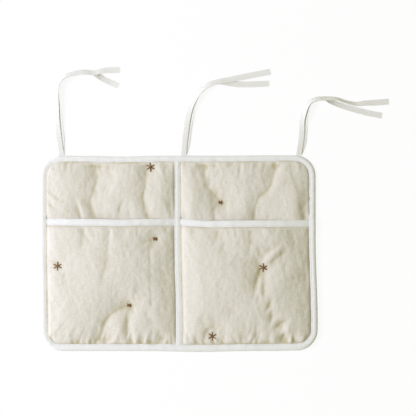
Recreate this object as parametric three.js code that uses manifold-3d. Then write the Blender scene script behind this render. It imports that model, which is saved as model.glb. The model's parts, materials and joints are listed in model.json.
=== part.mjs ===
// A quilted crib organizer lying on its back: a padded panel bound with tape, two padded pockets,
// tuft stitches and three tape ties. Millimetres, +X along the width, +Y towards the ties, +Z up.
import * as THREE from 'three';
import { mergeVertices } from 'three/addons/utils/BufferGeometryUtils.js';
import Module from 'manifold-3d';

const wasm = await Module();
wasm.setup();
const { smoothstep, lerp, degToRad } = THREE.MathUtils;

// Panel
const panelWidth = 500;
const panelHeight = 356;
const cornerRadius = 38;
const clothThickness = 0.6;
const seamWadding = 1.0; // wadding pressed flat inside a seam
const layerGap = 0.3; // clearance between neighbouring layers
const crownAbovePockets = 7.5;
const crownBehindPockets = 2;
const crownRun = 31; // distance over which the padding swells in from a seam
const backRun = 20; // distance over which the back cloth drops to the flat

// Tape of the binding, the hems and the centre strip
const tapeThickness = 0.8;
const bindingLeg = 12;
const hemLeg = 12.5;
const centreTapeWidth = 10;
const centreTapeX = -3.5;
const seamMargin = 2; // flat cloth beside a tape's edge

// Pockets
const mouthFromTop = 114.6; // top edge of the panel to the pocket mouths
const mouthGape = 13;
const pocketPuff = 4;
const pocketPuffRun = 30;
const mouthLiftRun = 34;

// Tuft stitches
const starRadius = 8.2;
const knotRadius = 4.6;
const threadWidth = 1.7;
const threadHeight = 0.8;
const tuftReach = 18; // radius of the hollow that a stitch draws in
const tuftPull = 0.75; // share of the padding that a stitch draws down

// Ties
const tieWidth = 11;
const tieThickness = 1.0;
const tieFloorGap = 0.4;
const tieFan = 2.5; // sideways spread of the two layers near the fold
const tieFanRun = 10;
const tieFanEnd = [70, 108];

// Steps of the round stretches
const cornerSteps = 6;
const noseSteps = 4;
const tieSamplesPerPoint = 2;

// Sizes and places worked out from the above
const leftEdge = -panelWidth / 2;
const rightEdge = panelWidth / 2;
const topEdge = panelHeight / 2;
const bottomEdge = -panelHeight / 2;
const mouthY = topEdge - mouthFromTop;
const layerStack = 2 * clothThickness + seamWadding + 2 * layerGap;
const bindingHeight = layerStack + 2 * (tapeThickness + layerGap);
const noseRadius = bindingHeight / 2;
const backSeamZ = tapeThickness + layerGap;
const frontSeamZ = backSeamZ + clothThickness + layerGap + seamWadding + layerGap;
const frontSeamTop = frontSeamZ + clothThickness;
const onPanelZ = frontSeamTop + layerGap;
const mouthLift = tapeThickness + 2 * layerGap; // room for the hem's rear leg under the pocket's ends
const crownStart = bindingLeg + seamMargin;
const tapeHalf = centreTapeWidth / 2;

const ecru = { color: 0xe9e3d6, roughness: 0.95 };
const white = { color: 0xeeece8, roughness: 0.85 };
const fleece = { color: 0xf4f2ec, roughness: 1.0 };
const brown = { color: 0x8a6a45, roughness: 0.7 };

const organizer = new THREE.Group();
organizer.name = 'crib_organizer';

function addMesh(name, geometry, finish) {
  const mesh = new THREE.Mesh(geometry, new THREE.MeshStandardMaterial({ metalness: 0, ...finish }));
  mesh.name = name;
  organizer.add(mesh);
}

// Solids and their geometry

function solidOf(positions, triangles) {
  const vertProperties = new Float32Array(positions);
  const triVerts = new Uint32Array(triangles);
  return new wasm.Manifold(new wasm.Mesh({ numProp: 3, vertProperties, triVerts }));
}

function solidOfGeometry(geometry) {
  geometry.deleteAttribute('normal');
  geometry.deleteAttribute('uv');
  const merged = mergeVertices(geometry, 1e-4);
  return solidOf(merged.attributes.position.array, merged.index.array);
}

function indexedGeometry(positions, triangles) {
  const geometry = new THREE.BufferGeometry();
  geometry.setAttribute('position', new THREE.Float32BufferAttribute(positions, 3));
  geometry.setIndex(Array.from(triangles));
  geometry.computeVertexNormals();
  return geometry;
}

function geometryOf(solid) {
  const mesh = solid.getMesh();
  return indexedGeometry(Array.from(mesh.vertProperties), mesh.triVerts);
}

function prism(shape, low, high) {
  const geometry = new THREE.ExtrudeGeometry(shape, {
    depth: high - low,
    bevelEnabled: false,
    curveSegments: cornerSteps,
  });
  geometry.translate(0, 0, low);
  return solidOfGeometry(geometry);
}

// A cloth or padding layer: a slab between two height functions on one grid of lines
function layer(xs, ys, lower, upper) {
  const columns = xs.length;
  const rows = ys.length;
  const half = columns * rows;
  const positions = [];
  for (const surface of [lower, upper]) {
    for (const y of ys) {
      for (const x of xs) positions.push(x, y, surface(x, y));
    }
  }
  const triangles = [];
  for (let row = 0; row < rows - 1; row++) {
    for (let column = 0; column < columns - 1; column++) {
      const a = row * columns + column;
      const b = a + 1;
      const c = a + columns;
      const d = c + 1;
      triangles.push(a, d, b, a, c, d);
      triangles.push(a + half, b + half, d + half, a + half, d + half, c + half);
    }
  }
  const rim = [];
  for (let column = 0; column < columns - 1; column++) rim.push(column);
  for (let row = 0; row < rows - 1; row++) rim.push(row * columns + columns - 1);
  for (let column = columns - 1; column > 0; column--) rim.push((rows - 1) * columns + column);
  for (let row = rows - 1; row > 0; row--) rim.push(row * columns);
  rim.forEach((p, i) => {
    const q = rim[(i + 1) % rim.length];
    triangles.push(p, q, q + half, p, q + half, p + half);
  });
  return solidOf(positions, triangles);
}

// Rows of equal sections joined into a closed body, as a ring or with capped ends
function sweep(sections, closed) {
  const size = sections[0].length;
  const count = sections.length;
  const positions = sections.flat().flatMap((point) => [point.x, point.y, point.z]);
  const triangles = [];
  const joints = closed ? count : count - 1;
  for (let i = 0; i < joints; i++) {
    const here = i * size;
    const next = ((i + 1) % count) * size;
    for (let k = 0; k < size; k++) {
      const l = (k + 1) % size;
      triangles.push(here + k, here + l, next + l, here + k, next + l, next + k);
    }
  }
  if (!closed) {
    const last = (count - 1) * size;
    for (let k = 0; k < size / 2 - 1; k++) {
      const l = size - 1 - k;
      triangles.push(k, l, l - 1, k, l - 1, k + 1);
      triangles.push(last + k, last + l - 1, last + l, last + k, last + k + 1, last + l - 1);
    }
  }
  return solidOf(positions, triangles);
}

// Outlines and grid lines

function roundedOutline(inset) {
  const x = panelWidth / 2 - inset;
  const y = panelHeight / 2 - inset;
  const r = cornerRadius - inset;
  const shape = new THREE.Shape();
  shape.absarc(x - r, y - r, r, 0, Math.PI / 2);
  shape.absarc(r - x, y - r, r, Math.PI / 2, Math.PI);
  shape.absarc(r - x, r - y, r, Math.PI, Math.PI * 1.5);
  shape.absarc(x - r, r - y, r, Math.PI * 1.5, Math.PI * 2);
  shape.closePath();
  return shape;
}

function evenLines(from, to, steps) {
  return Array.from({ length: steps + 1 }, (_, i) => lerp(from, to, i / steps));
}

function sortedLines(...groups) {
  return [...new Set(groups.flat().map((value) => Number(value.toFixed(4))))].sort((a, b) => a - b);
}

// Folded tape: a U of tape with a round nose, n inwards from the nose and z from its lower face
function foldedTape(leg) {
  const outer = [[leg, bindingHeight]];
  const inner = [[leg, bindingHeight - tapeThickness]];
  for (let i = 0; i <= noseSteps; i++) {
    const angle = Math.PI / 2 + (Math.PI * i) / noseSteps;
    const n = noseRadius + noseRadius * Math.cos(angle);
    outer.push([n, noseRadius + noseRadius * Math.sin(angle)]);
    const innerRadius = noseRadius - tapeThickness;
    inner.push([noseRadius + innerRadius * Math.cos(angle), noseRadius + innerRadius * Math.sin(angle)]);
  }
  outer.push([leg, 0]);
  inner.push([leg, tapeThickness]);
  return [...outer, ...inner.reverse()];
}

// Stitches: the body that carries each tuft, and its place from the edges that it lies near
const tufts = [
  { name: 'star_upper_left', on: 'panel', radius: starRadius, at: [centreTapeX - 50.1, topEdge - 20.8] },
  { name: 'knot_upper_right', on: 'panel', radius: knotRadius, at: [centreTapeX + 77.2, topEdge - 85.4] },
  { name: 'knot_left_pocket_upper', on: 'left', radius: knotRadius, at: [centreTapeX - 41.2, mouthY - 36.7] },
  { name: 'star_left_pocket_side', on: 'left', radius: starRadius, at: [leftEdge + 28.1, mouthY - 86.2] },
  {
    name: 'knot_left_pocket_lower',
    on: 'left',
    radius: knotRadius,
    at: [centreTapeX - 88.7, bottomEdge + 83.9],
  },
  {
    name: 'star_right_pocket_middle',
    on: 'right',
    radius: starRadius,
    at: [rightEdge - 98.5, mouthY - 88.8],
  },
  {
    name: 'star_right_pocket_foot',
    on: 'right',
    radius: starRadius,
    at: [centreTapeX + 62.8, bottomEdge + 27.5],
  },
];

// Folds of the cloth above the pockets, from the top binding towards the pocket mouths
const folds = [
  { from: [leftEdge + 91, topEdge - 20], to: [leftEdge + 97, mouthY], width: 11, depth: 4.5 },
  { from: [leftEdge + 70, mouthY + 30], to: [leftEdge + 88, mouthY], width: 9, depth: 2.5 },
  { from: [centreTapeX - 58, topEdge - 30], to: [centreTapeX - 64, mouthY], width: 10, depth: 4 },
  { from: [centreTapeX + 49, topEdge - 20], to: [centreTapeX + 77, topEdge - 85], width: 11, depth: 4.5 },
  { from: [centreTapeX + 77, topEdge - 85], to: [centreTapeX + 70, mouthY], width: 9, depth: 3 },
  { from: [rightEdge - 72, topEdge - 20], to: [rightEdge - 118, mouthY], width: 11, depth: 4 },
  { from: [rightEdge - 34, topEdge - 40], to: [rightEdge - 24, topEdge - 80], width: 10, depth: 3 },
];

function distanceToFold(x, y, fold) {
  const line = new THREE.Line3(new THREE.Vector3(...fold.from, 0), new THREE.Vector3(...fold.to, 0));
  const point = new THREE.Vector3(x, y, 0);
  return line.closestPointToPoint(point, true, new THREE.Vector3()).distanceTo(point);
}

// Share of the padding that is left beside the stitches of one body
function tuftShare(x, y, body) {
  let share = 1;
  for (const tuft of tufts.filter((candidate) => candidate.on === body)) {
    const r = Math.hypot(x - tuft.at[0], y - tuft.at[1]);
    share *= 1 - tuftPull * Math.exp(-((r / tuftReach) ** 2));
  }
  return share;
}

// Panel: back cloth, wadding and front cloth caught in the edge binding

function edgeFade(x, y, run) {
  const acrossX = smoothstep(panelWidth / 2 - Math.abs(x), crownStart, crownStart + run);
  const acrossY = smoothstep(panelHeight / 2 - Math.abs(y), crownStart, crownStart + run);
  return acrossX * acrossY;
}

function backBottom(x, y) {
  return backSeamZ * (1 - edgeFade(x, y, backRun));
}

function crown(x, y) {
  const seamEnd = tapeHalf + seamMargin;
  const beside = smoothstep(Math.abs(x - centreTapeX), seamEnd, seamEnd + crownRun);
  const risen = smoothstep(y, mouthY - hemLeg, mouthY + crownRun);
  const full = lerp(crownBehindPockets, crownAbovePockets, risen);
  const above = smoothstep(y, mouthY - hemLeg, mouthY + hemLeg);
  let groove = 0;
  for (const fold of folds) {
    const distance = distanceToFold(x, y, fold);
    groove = Math.max(groove, fold.depth * Math.exp(-((distance / fold.width) ** 2)));
  }
  return (full * tuftShare(x, y, 'panel') - groove * above) * edgeFade(x, y, crownRun) * beside;
}

function frontBottom(x, y) {
  return frontSeamZ + crown(x, y);
}

function frontTop(x, y) {
  return frontBottom(x, y) + clothThickness;
}

const edgeInset = noseRadius;
const overrun = 2; // the grid runs past the outline that trims it
const runLines = [0, 0.5, 1];
const columnsPerHalf = 10;
const rowsBehindPockets = 4;
const rowsAbovePockets = 6;

function seamLines(edge, inward, run) {
  const lines = runLines.map((share) => edge + inward * (crownStart + share * run));
  return [edge - inward * (overrun - edgeInset), ...lines];
}

const panelXs = sortedLines(
  seamLines(leftEdge, 1, backRun),
  evenLines(leftEdge + crownStart + backRun, centreTapeX - tapeHalf - seamMargin, columnsPerHalf),
  evenLines(centreTapeX + tapeHalf + seamMargin, rightEdge - crownStart - backRun, columnsPerHalf),
  seamLines(rightEdge, -1, backRun),
);
const panelYs = sortedLines(
  seamLines(bottomEdge, 1, backRun),
  evenLines(bottomEdge + crownStart + backRun, mouthY - hemLeg, rowsBehindPockets),
  evenLines(mouthY, topEdge - crownStart - backRun, rowsAbovePockets),
  seamLines(topEdge, -1, backRun),
);
const backXs = sortedLines(seamLines(leftEdge, 1, backRun), seamLines(rightEdge, -1, backRun));
const backYs = sortedLines(seamLines(bottomEdge, 1, backRun), seamLines(topEdge, -1, backRun));

const trimLow = -bindingHeight;
const trimHigh = bindingHeight + crownAbovePockets + mouthGape + mouthLift + pocketPuff + layerStack;
const panelTrim = prism(roundedOutline(edgeInset), trimLow, trimHigh);

const backTop = (x, y) => backBottom(x, y) + clothThickness;
const panelWaddingBottom = (x, y) => backTop(x, y) + layerGap;
const panelWaddingTop = (x, y) => frontBottom(x, y) - layerGap;

const backCloth = layer(backXs, backYs, backBottom, backTop).intersect(panelTrim);
const panelWadding = layer(panelXs, panelYs, panelWaddingBottom, panelWaddingTop).intersect(panelTrim);
const frontCloth = layer(panelXs, panelYs, frontBottom, frontTop).intersect(panelTrim);
addMesh('back_cloth', geometryOf(backCloth), ecru);
addMesh('panel_wadding', geometryOf(panelWadding), fleece);
addMesh('front_cloth', geometryOf(frontCloth), ecru);

// Edge binding: the folded tape carried round the outline
function bindingSections() {
  const profile = foldedTape(bindingLeg);
  const sections = [];
  const quarters = [[1, 1], [-1, 1], [-1, -1], [1, -1]];
  quarters.forEach(([sideX, sideY], quarter) => {
    const centreX = sideX * (panelWidth / 2 - cornerRadius);
    const centreY = sideY * (panelHeight / 2 - cornerRadius);
    for (let i = 0; i <= cornerSteps; i++) {
      const angle = (quarter + i / cornerSteps) * (Math.PI / 2);
      sections.push(profile.map(([n, z]) => new THREE.Vector3(
        centreX + (cornerRadius - n) * Math.cos(angle),
        centreY + (cornerRadius - n) * Math.sin(angle),
        z,
      )));
    }
  });
  return sections;
}
addMesh('edge_binding', geometryOf(sweep(bindingSections(), true)), white);

// Centre tape: a flat strip on the panel between the two bindings, thinner at its selvedges
function centreTape() {
  const selvedge = tapeThickness / 2;
  const shape = new THREE.Shape();
  shape.moveTo(-tapeHalf, 0);
  shape.lineTo(tapeHalf, 0);
  shape.lineTo(tapeHalf, selvedge);
  shape.lineTo(tapeHalf - tapeThickness, tapeThickness);
  shape.lineTo(tapeThickness - tapeHalf, tapeThickness);
  shape.lineTo(-tapeHalf, selvedge);
  shape.closePath();
  const length = panelHeight - 2 * (bindingLeg + layerGap);
  const geometry = new THREE.ExtrudeGeometry(shape, { depth: length, bevelEnabled: false });
  geometry.rotateX(Math.PI / 2);
  geometry.translate(centreTapeX, length / 2, onPanelZ);
  return solidOfGeometry(geometry);
}
addMesh('centre_tape', geometryOf(centreTape()), white);

// Pockets: lining, wadding and face sewn down on three sides, with a taped mouth that gapes

const pocketBottom = bottomEdge + bindingLeg + layerGap;
const pocketSides = {
  left: [leftEdge + bindingLeg + layerGap, centreTapeX - tapeHalf - layerGap],
  right: [centreTapeX + tapeHalf + layerGap, rightEdge - bindingLeg - layerGap],
};
const hemFlat = mouthY - hemLeg - seamMargin; // above this line the pocket is level from front to back
const pocketColumns = 8;
const pocketRows = 5;
const pocketTrim = prism(roundedOutline(bindingLeg + layerGap), trimLow, trimHigh);

function pocketSurfaces(body) {
  const [x0, x1] = pocketSides[body];
  const liningBottom = (x, y) => {
    const across = THREE.MathUtils.clamp((x - x0) / (x1 - x0), 0, 1);
    const along = THREE.MathUtils.clamp((y - pocketBottom) / (hemFlat - pocketBottom), 0, 1);
    const bulge = 4 * across * (1 - across);
    const rise = Math.pow(Math.sin((along * Math.PI) / 2), 0.8);
    const lift = mouthLift * smoothstep(y, hemFlat - mouthLiftRun, hemFlat);
    return onPanelZ + lift + mouthGape * bulge * rise;
  };
  const waddingDepth = (x, y) => {
    const nearest = [x - x0, x1 - x, y - pocketBottom, hemFlat - y];
    const fade = nearest.reduce((share, gap) => share * smoothstep(gap, 0, pocketPuffRun), 1);
    return seamWadding + pocketPuff * fade * tuftShare(x, y, body);
  };
  const liningTop = (x, y) => liningBottom(x, y) + clothThickness;
  const waddingBottom = (x, y) => liningTop(x, y) + layerGap;
  const waddingTop = (x, y) => waddingBottom(x, y) + waddingDepth(x, y);
  const faceBottom = (x, y) => waddingTop(x, y) + layerGap;
  const faceTop = (x, y) => faceBottom(x, y) + clothThickness;
  return { liningBottom, liningTop, waddingBottom, waddingTop, faceBottom, faceTop };
}

function pocketGrid(body) {
  const [x0, x1] = pocketSides[body];
  const half = pocketPuffRun / 2;
  const columns = evenLines(x0 + pocketPuffRun, x1 - pocketPuffRun, pocketColumns);
  const outerLeft = body === 'left' ? [x0 - overrun] : [];
  const outerRight = body === 'right' ? [x1 + overrun] : [];
  const xs = sortedLines(outerLeft, [x0, x0 + half], columns, [x1 - half, x1], outerRight);
  const rows = evenLines(pocketBottom + pocketPuffRun, hemFlat - pocketPuffRun, pocketRows);
  const ends = [hemFlat - half, hemFlat, mouthY - noseRadius];
  const ys = sortedLines([pocketBottom - overrun, pocketBottom, pocketBottom + half], rows, ends);
  return { xs, ys };
}

// Hem: the folded tape carried along the arched mouth
function hemSections(body, surfaces, xs) {
  const [x0, x1] = pocketSides[body];
  const profile = foldedTape(hemLeg);
  const stations = xs.filter((x) => x > x0 - layerGap && x < x1 + layerGap).reverse();
  return stations.map((x) => {
    const level = surfaces.liningBottom(x, hemFlat) - tapeThickness - layerGap;
    return profile.map(([n, z]) => new THREE.Vector3(x, mouthY - n, level + z));
  });
}

const grids = { panel: { xs: panelXs, ys: panelYs } };
const tops = { panel: frontTop };
for (const body of ['left', 'right']) {
  const surfaces = pocketSurfaces(body);
  const { xs, ys } = pocketGrid(body);
  const pieceOf = (lower, upper) => geometryOf(layer(xs, ys, lower, upper).intersect(pocketTrim));
  addMesh(`${body}_pocket_lining`, pieceOf(surfaces.liningBottom, surfaces.liningTop), ecru);
  addMesh(`${body}_pocket_wadding`, pieceOf(surfaces.waddingBottom, surfaces.waddingTop), fleece);
  addMesh(`${body}_pocket_face`, pieceOf(surfaces.faceBottom, surfaces.faceTop), ecru);
  addMesh(`${body}_pocket_hem`, geometryOf(sweep(hemSections(body, surfaces, xs), false)), white);
  grids[body] = { xs, ys };
  tops[body] = surfaces.faceTop;
}

// Tuft stitches: three crossing threads laid on the cloth, six arms in all

function asterisk(tuft) {
  const arms = 6;
  const half = threadWidth / 2;
  const waist = half / Math.sin(Math.PI / arms); // where two neighbouring arms meet
  const centre = new THREE.Vector2(...tuft.at);
  const points = [];
  for (let arm = 0; arm < arms; arm++) {
    const turn = (arm * 2 * Math.PI) / arms + Math.PI / 2;
    const corners = [new THREE.Vector2(tuft.radius, -half), new THREE.Vector2(tuft.radius, half)];
    corners.push(new THREE.Vector2(waist, 0).rotateAround(new THREE.Vector2(), Math.PI / arms));
    for (const corner of corners) points.push(corner.rotateAround(new THREE.Vector2(), turn).add(centre));
  }
  return new THREE.Shape(points);
}

for (const tuft of tufts) {
  const { xs, ys } = grids[tuft.on];
  const under = (x, y) => tops[tuft.on](x, y) + layerGap;
  const over = (x, y) => under(x, y) + threadHeight;
  const outline = prism(asterisk(tuft), trimLow, trimHigh + threadHeight);
  addMesh(tuft.name, geometryOf(layer(xs, ys, under, over).intersect(outline)), brown);
}

// Ties: one tape folded in half at the top edge, its two tails lying together and then parting.
// Points are [x, y, lean] from the fold, lean 0 flat on the ground and 90 standing on its edge; a tape
// with a lean below 0 leans to its other side.
const ties = [
  {
    name: 'left_tie',
    x: leftEdge + 34,
    stem: [[0, 0, 0], [-2, 27, 0], [-3.5, 40, 3], [-6, 64, 10], [-7.7, 88, 24], [-8.6, 112, 42],
      [-5.5, 131, 50], [5.8, 143, 46], [21.7, 148.6, 36], [40, 151, 30], [58.4, 149.2, 30]],
    frontTail: [[76.7, 154.1, 18], [92, 155, 6], [106, 155.4, 0]],
    backTail: [[67.4, 144.1, 24], [76.7, 138.2, 8], [90.2, 131.6, -24], [103, 126, -42]],
  },
  {
    name: 'centre_tie',
    x: centreTapeX + 10.5,
    stem: [[0, 0, 0], [3.5, 20, 0], [6.8, 45.4, 2], [10.6, 71.2, 9], [15, 90.3, 20], [24.7, 109.5, 36],
      [32.7, 118.5, 40], [46.8, 128.7, 34], [64.7, 133.8, 24]],
    frontTail: [[84, 137.5, 15], [103.3, 141.6, 6], [128.8, 146.6, 2], [158.4, 152.5, 0]],
    backTail: [[83.9, 130.6, 15], [103.3, 129, 6], [128.8, 129.2, 2], [155.9, 130.7, 0]],
  },
  {
    name: 'right_tie',
    x: rightEdge - 33,
    stem: [[0, 0, 0], [5.6, 20.7, 0], [7.3, 34.3, 2], [8, 47.6, 7], [8, 60.9, 15], [12.6, 81, 32],
      [19.3, 94.6, 46], [32.7, 101.9, 46], [48.7, 102.8, 42]],
    frontTail: [[68.8, 102.4, 50], [82.3, 98, 54], [95.7, 94.5, 48], [106.5, 93, 38], [122.5, 94.8, 22],
      [142.6, 95.8, 8], [164.7, 97.8, 0]],
    backTail: [[56.5, 98, 36], [68.8, 93.2, 24], [89, 86.6, 11], [109, 81.2, 3], [129.1, 76, 0],
      [152, 71.7, 0]],
  },
];
const tieSpacing = tieThickness + layerGap; // between the middles of the two tails where they lie together
const tieFoldRadius = tieSpacing / 2 + tieThickness / 2;
const tieFoldY = topEdge + layerGap + tieFoldRadius;
const tieFoldZ = bindingHeight / 2;

// Directions left of, out of and across a tape that heads along (headX, headY) and leans by an angle
function tapeFrame(headX, headY, lean) {
  const length = Math.hypot(headX, headY);
  const left = new THREE.Vector3(-headY / length, headX / length, 0);
  const up = new THREE.Vector3(0, 0, 1);
  const normal = up.clone().multiplyScalar(Math.cos(lean)).addScaledVector(left, Math.sin(lean));
  const across = up.clone().multiplyScalar(Math.sin(lean)).addScaledVector(left, -Math.cos(lean));
  return { left, normal, across };
}

function tailStations(tie, ends, side) {
  const points = [...tie.stem, ...ends];
  const middles = points.map(([x, y, degrees], i) => {
    const before = points[Math.max(i - 1, 0)];
    const after = points[Math.min(i + 1, points.length - 1)];
    const lean = degToRad(degrees);
    const { left, normal } = tapeFrame(after[0] - before[0], after[1] - before[1], lean);
    const together = i < tie.stem.length;
    const halfStack = together ? tieFoldRadius : tieThickness / 2;
    const rest = tieFloorGap + (tieWidth / 2) * Math.abs(Math.sin(lean)) + halfStack * Math.cos(lean);
    const middle = new THREE.Vector3(tie.x + x, tieFoldY + y, i === 0 ? tieFoldZ : rest);
    if (!together) return middle;
    const fan = smoothstep(y, 0, tieFanRun) * (1 - smoothstep(y, ...tieFanEnd));
    middle.addScaledVector(normal, side * tieSpacing / 2);
    return middle.addScaledVector(left, side * tieFan * fan);
  });
  const route = new THREE.CatmullRomCurve3(middles, false, 'catmullrom');
  const leanPoints = points.map(([, , degrees]) => new THREE.Vector3(degToRad(degrees), 0, 0));
  const leans = new THREE.CatmullRomCurve3(leanPoints, false, 'catmullrom');
  const samples = (points.length - 1) * tieSamplesPerPoint;
  return Array.from({ length: samples + 1 }, (_, i) => {
    const heading = i === 0 ? new THREE.Vector3(0, 1, 0) : route.getTangent(i / samples);
    const { normal, across } = tapeFrame(heading.x, heading.y, leans.getPoint(i / samples).x);
    return { middle: route.getPoint(i / samples), across, outward: normal.multiplyScalar(side) };
  });
}

function foldStations(tie) {
  const stations = [];
  for (let i = 1; i < noseSteps; i++) {
    const angle = Math.PI / 2 + (Math.PI * i) / noseSteps;
    const outward = new THREE.Vector3(0, Math.cos(angle), Math.sin(angle));
    const middle = new THREE.Vector3(tie.x, tieFoldY, tieFoldZ).addScaledVector(outward, tieSpacing / 2);
    stations.push({ middle, across: new THREE.Vector3(1, 0, 0), outward });
  }
  return stations;
}

function tapeSection({ middle, across, outward }) {
  const w = tieWidth / 2;
  const t = tieThickness / 2;
  return [[w, t], [-w, t], [-w, -t], [w, -t]].map(([a, b]) => (
    middle.clone().addScaledVector(across, a).addScaledVector(outward, b)
  ));
}

for (const tie of ties) {
  const front = tailStations(tie, tie.frontTail, 1).reverse();
  const back = tailStations(tie, tie.backTail, -1);
  const sections = [...front, ...foldStations(tie), ...back].map(tapeSection);
  addMesh(tie.name, geometryOf(sweep(sections, false)), white);
}

export default organizer;
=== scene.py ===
# A quilted crib organizer on its back: padded panel, two padded pockets, tape edges, tufts and ties.
import json
import math

import bpy
import numpy as np
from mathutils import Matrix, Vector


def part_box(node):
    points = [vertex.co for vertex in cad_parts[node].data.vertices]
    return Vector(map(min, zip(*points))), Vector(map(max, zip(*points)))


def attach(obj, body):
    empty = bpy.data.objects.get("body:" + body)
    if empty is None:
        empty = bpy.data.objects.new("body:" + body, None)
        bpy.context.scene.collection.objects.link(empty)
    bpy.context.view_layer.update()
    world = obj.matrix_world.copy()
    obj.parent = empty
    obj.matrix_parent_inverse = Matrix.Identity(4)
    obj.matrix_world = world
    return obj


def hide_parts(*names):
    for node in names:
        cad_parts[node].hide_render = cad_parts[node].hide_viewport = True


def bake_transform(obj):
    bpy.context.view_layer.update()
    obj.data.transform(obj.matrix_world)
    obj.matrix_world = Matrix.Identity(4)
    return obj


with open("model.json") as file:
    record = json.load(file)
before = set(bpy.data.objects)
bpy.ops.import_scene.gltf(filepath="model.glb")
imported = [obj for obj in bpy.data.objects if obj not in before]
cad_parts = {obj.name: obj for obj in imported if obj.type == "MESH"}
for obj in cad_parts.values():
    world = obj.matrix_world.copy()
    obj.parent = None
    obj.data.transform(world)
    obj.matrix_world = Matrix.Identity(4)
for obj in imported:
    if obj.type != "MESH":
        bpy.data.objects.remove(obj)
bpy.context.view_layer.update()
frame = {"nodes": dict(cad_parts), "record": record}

mm = 0.001  # shapes are worked out in millimetres and written in metres
photo = {"mmPerPixel": 1.827, "panelCentre": (179.85, 253.3), "size": 416}
tiny = 1e-6  # keeps divisions off zero and places in a grid off its last line
noiseCells = 128  # a noise repeats after this many cells
crispAngle = 62  # cut ends and lips that turn by more degrees than this stay crisp


# Small tools for shapes

def smooth(low, high, value):
    # an S curve from 0 at low to 1 at high: 3 t squared less 2 t cubed
    share = np.clip((value - low) / (high - low), 0, 1)
    return share * share * (3 - 2 * share)


def swell(gap, run):
    # a quarter ellipse: steep at the seam, level after the run
    return np.sqrt(1 - (1 - np.clip(gap / run, 0, 1)) ** 2)


def bell(value, middle, run):
    # e to minus the square of the distance from the middle, counted in runs
    return np.exp(-(((value - middle) / run) ** 2))


def mix(a, b, share):
    return a + (b - a) * share


def noise(x, y, cell, seed):
    # random heights from -1 to 1 at the corners of square cells, joined by S curves
    table = np.random.default_rng(seed).uniform(-1, 1, (noiseCells, noiseCells))
    column, row = np.floor(x / cell).astype(int), np.floor(y / cell).astype(int)
    right, up = smooth(0, 1, x / cell - column), smooth(0, 1, y / cell - row)
    here, below = column % noiseCells, row % noiseCells
    beside, above = (column + 1) % noiseCells, (row + 1) % noiseCells
    low = mix(table[here, below], table[beside, below], right)
    high = mix(table[here, above], table[beside, above], right)
    return mix(low, high, up)


def lineNoise(along, cell, seed):
    return noise(along, 0 * along, cell, seed)


def wander(x, y, size, cell, seed):
    # places moved each way by a noise of this size
    return x + size * noise(x, y, cell, seed), y + size * noise(x, y, cell, seed + 1)


def curveThrough(points, perSpan):
    # Catmull-Rom: a cubic on each span, headed at each point along the chord of its neighbours
    points = np.asarray(points, float)
    padded = np.vstack([2 * points[0] - points[1], points, 2 * points[-1] - points[-2]])
    place = np.linspace(0, len(points) - 1, (len(points) - 1) * perSpan + 1)
    span = np.minimum(place.astype(int), len(points) - 2)
    t = (place - span)[:, None]
    a, b, c, d = (padded[span + k] for k in range(4))
    bend = (2 * a - 5 * b + 4 * c - d) * t**2 + (3 * b - a - 3 * c + d) * t**3
    return b + 0.5 * ((c - a) * t + bend)


def runAlong(points):
    # distance from the first point to each point, step by step
    steps = np.linalg.norm(np.diff(points, axis=0), axis=1)
    return np.concatenate([[0], np.cumsum(steps)])


def fromPhoto(points):
    # photograph pixels to millimetres from the panel's centre
    offset = np.asarray(points, float) - photo["panelCentre"]
    return offset * (photo["mmPerPixel"], -photo["mmPerPixel"])


def boxOf(node):
    return np.array(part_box(node)) / mm


def gridFaces(rows, columns):
    corner = np.arange(rows * columns).reshape(rows, columns)
    cells = [corner[:-1, :-1], corner[:-1, 1:], corner[1:, 1:], corner[1:, :-1]]
    return np.stack([cell.ravel() for cell in cells], axis=1)


def slab(top, bottom):
    # a closed pad: the top grid, the bottom grid turned over, and a wall round their rims
    rows, columns = top.shape[:2]
    half = rows * columns
    cells = gridFaces(rows, columns)
    corner = np.arange(half).reshape(rows, columns)
    rim = np.concatenate([corner[0, :-1], corner[:-1, -1], corner[-1, :0:-1], corner[:0:-1, 0]])
    after = np.roll(rim, -1)
    wall = np.stack([rim + half, after + half, after, rim], axis=1)
    points = np.vstack([top.reshape(-1, 3), bottom.reshape(-1, 3)])
    return points, np.vstack([cells, cells[:, ::-1] + half, wall])


def tube(sections, closed):
    # equal closed sections carried along a path: quads between neighbours, strips over the two ends
    stations, size = sections.shape[:2]
    corner = np.arange(stations * size).reshape(stations, size)
    here = corner if closed else corner[:-1]
    following = np.roll(corner, -1, axis=0) if closed else corner[1:]
    sides = [here, np.roll(here, -1, axis=1), np.roll(following, -1, axis=1), following]
    faces = np.stack([side.ravel() for side in sides], axis=1)
    if not closed:
        low = np.arange(size // 2 - 1)
        high = size - 1 - low
        strip = np.stack([low, low + 1, high - 1, high], axis=1)
        faces = np.vstack([faces, strip[:, ::-1], strip + (stations - 1) * size])
    return sections.reshape(-1, 3), faces


def manyTimes(faces, size, count):
    # the faces of one shape repeated for copies that follow each other, each of this many points
    return (faces + np.arange(count)[:, None, None] * size).reshape(-1, 4)


def outwards(points, faces):
    # six times the signed volume; a negative one means that the faces look inwards
    a, b, c, d = (points[faces[:, k]] for k in range(4))
    volume = np.einsum("ij,ij->", a, np.cross(b, c)) + np.einsum("ij,ij->", a, np.cross(c, d))
    return faces if volume > 0 else faces[:, ::-1]


def addObject(name, data):
    thing = bpy.data.objects.new(name, data)
    bpy.context.scene.collection.objects.link(thing)
    return thing


def addMesh(name, points, faces):
    mesh = bpy.data.meshes.new(name)
    mesh.from_pydata((points * mm).tolist(), [], faces.tolist())
    return addObject(name, mesh)


def makePiece(name, points, faces, material):
    piece = addMesh(name, points, outwards(points, faces))
    piece.data.shade_smooth()
    piece.data.set_sharp_from_angle(angle=math.radians(crispAngle))
    piece.data.materials.append(material)
    return piece


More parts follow.
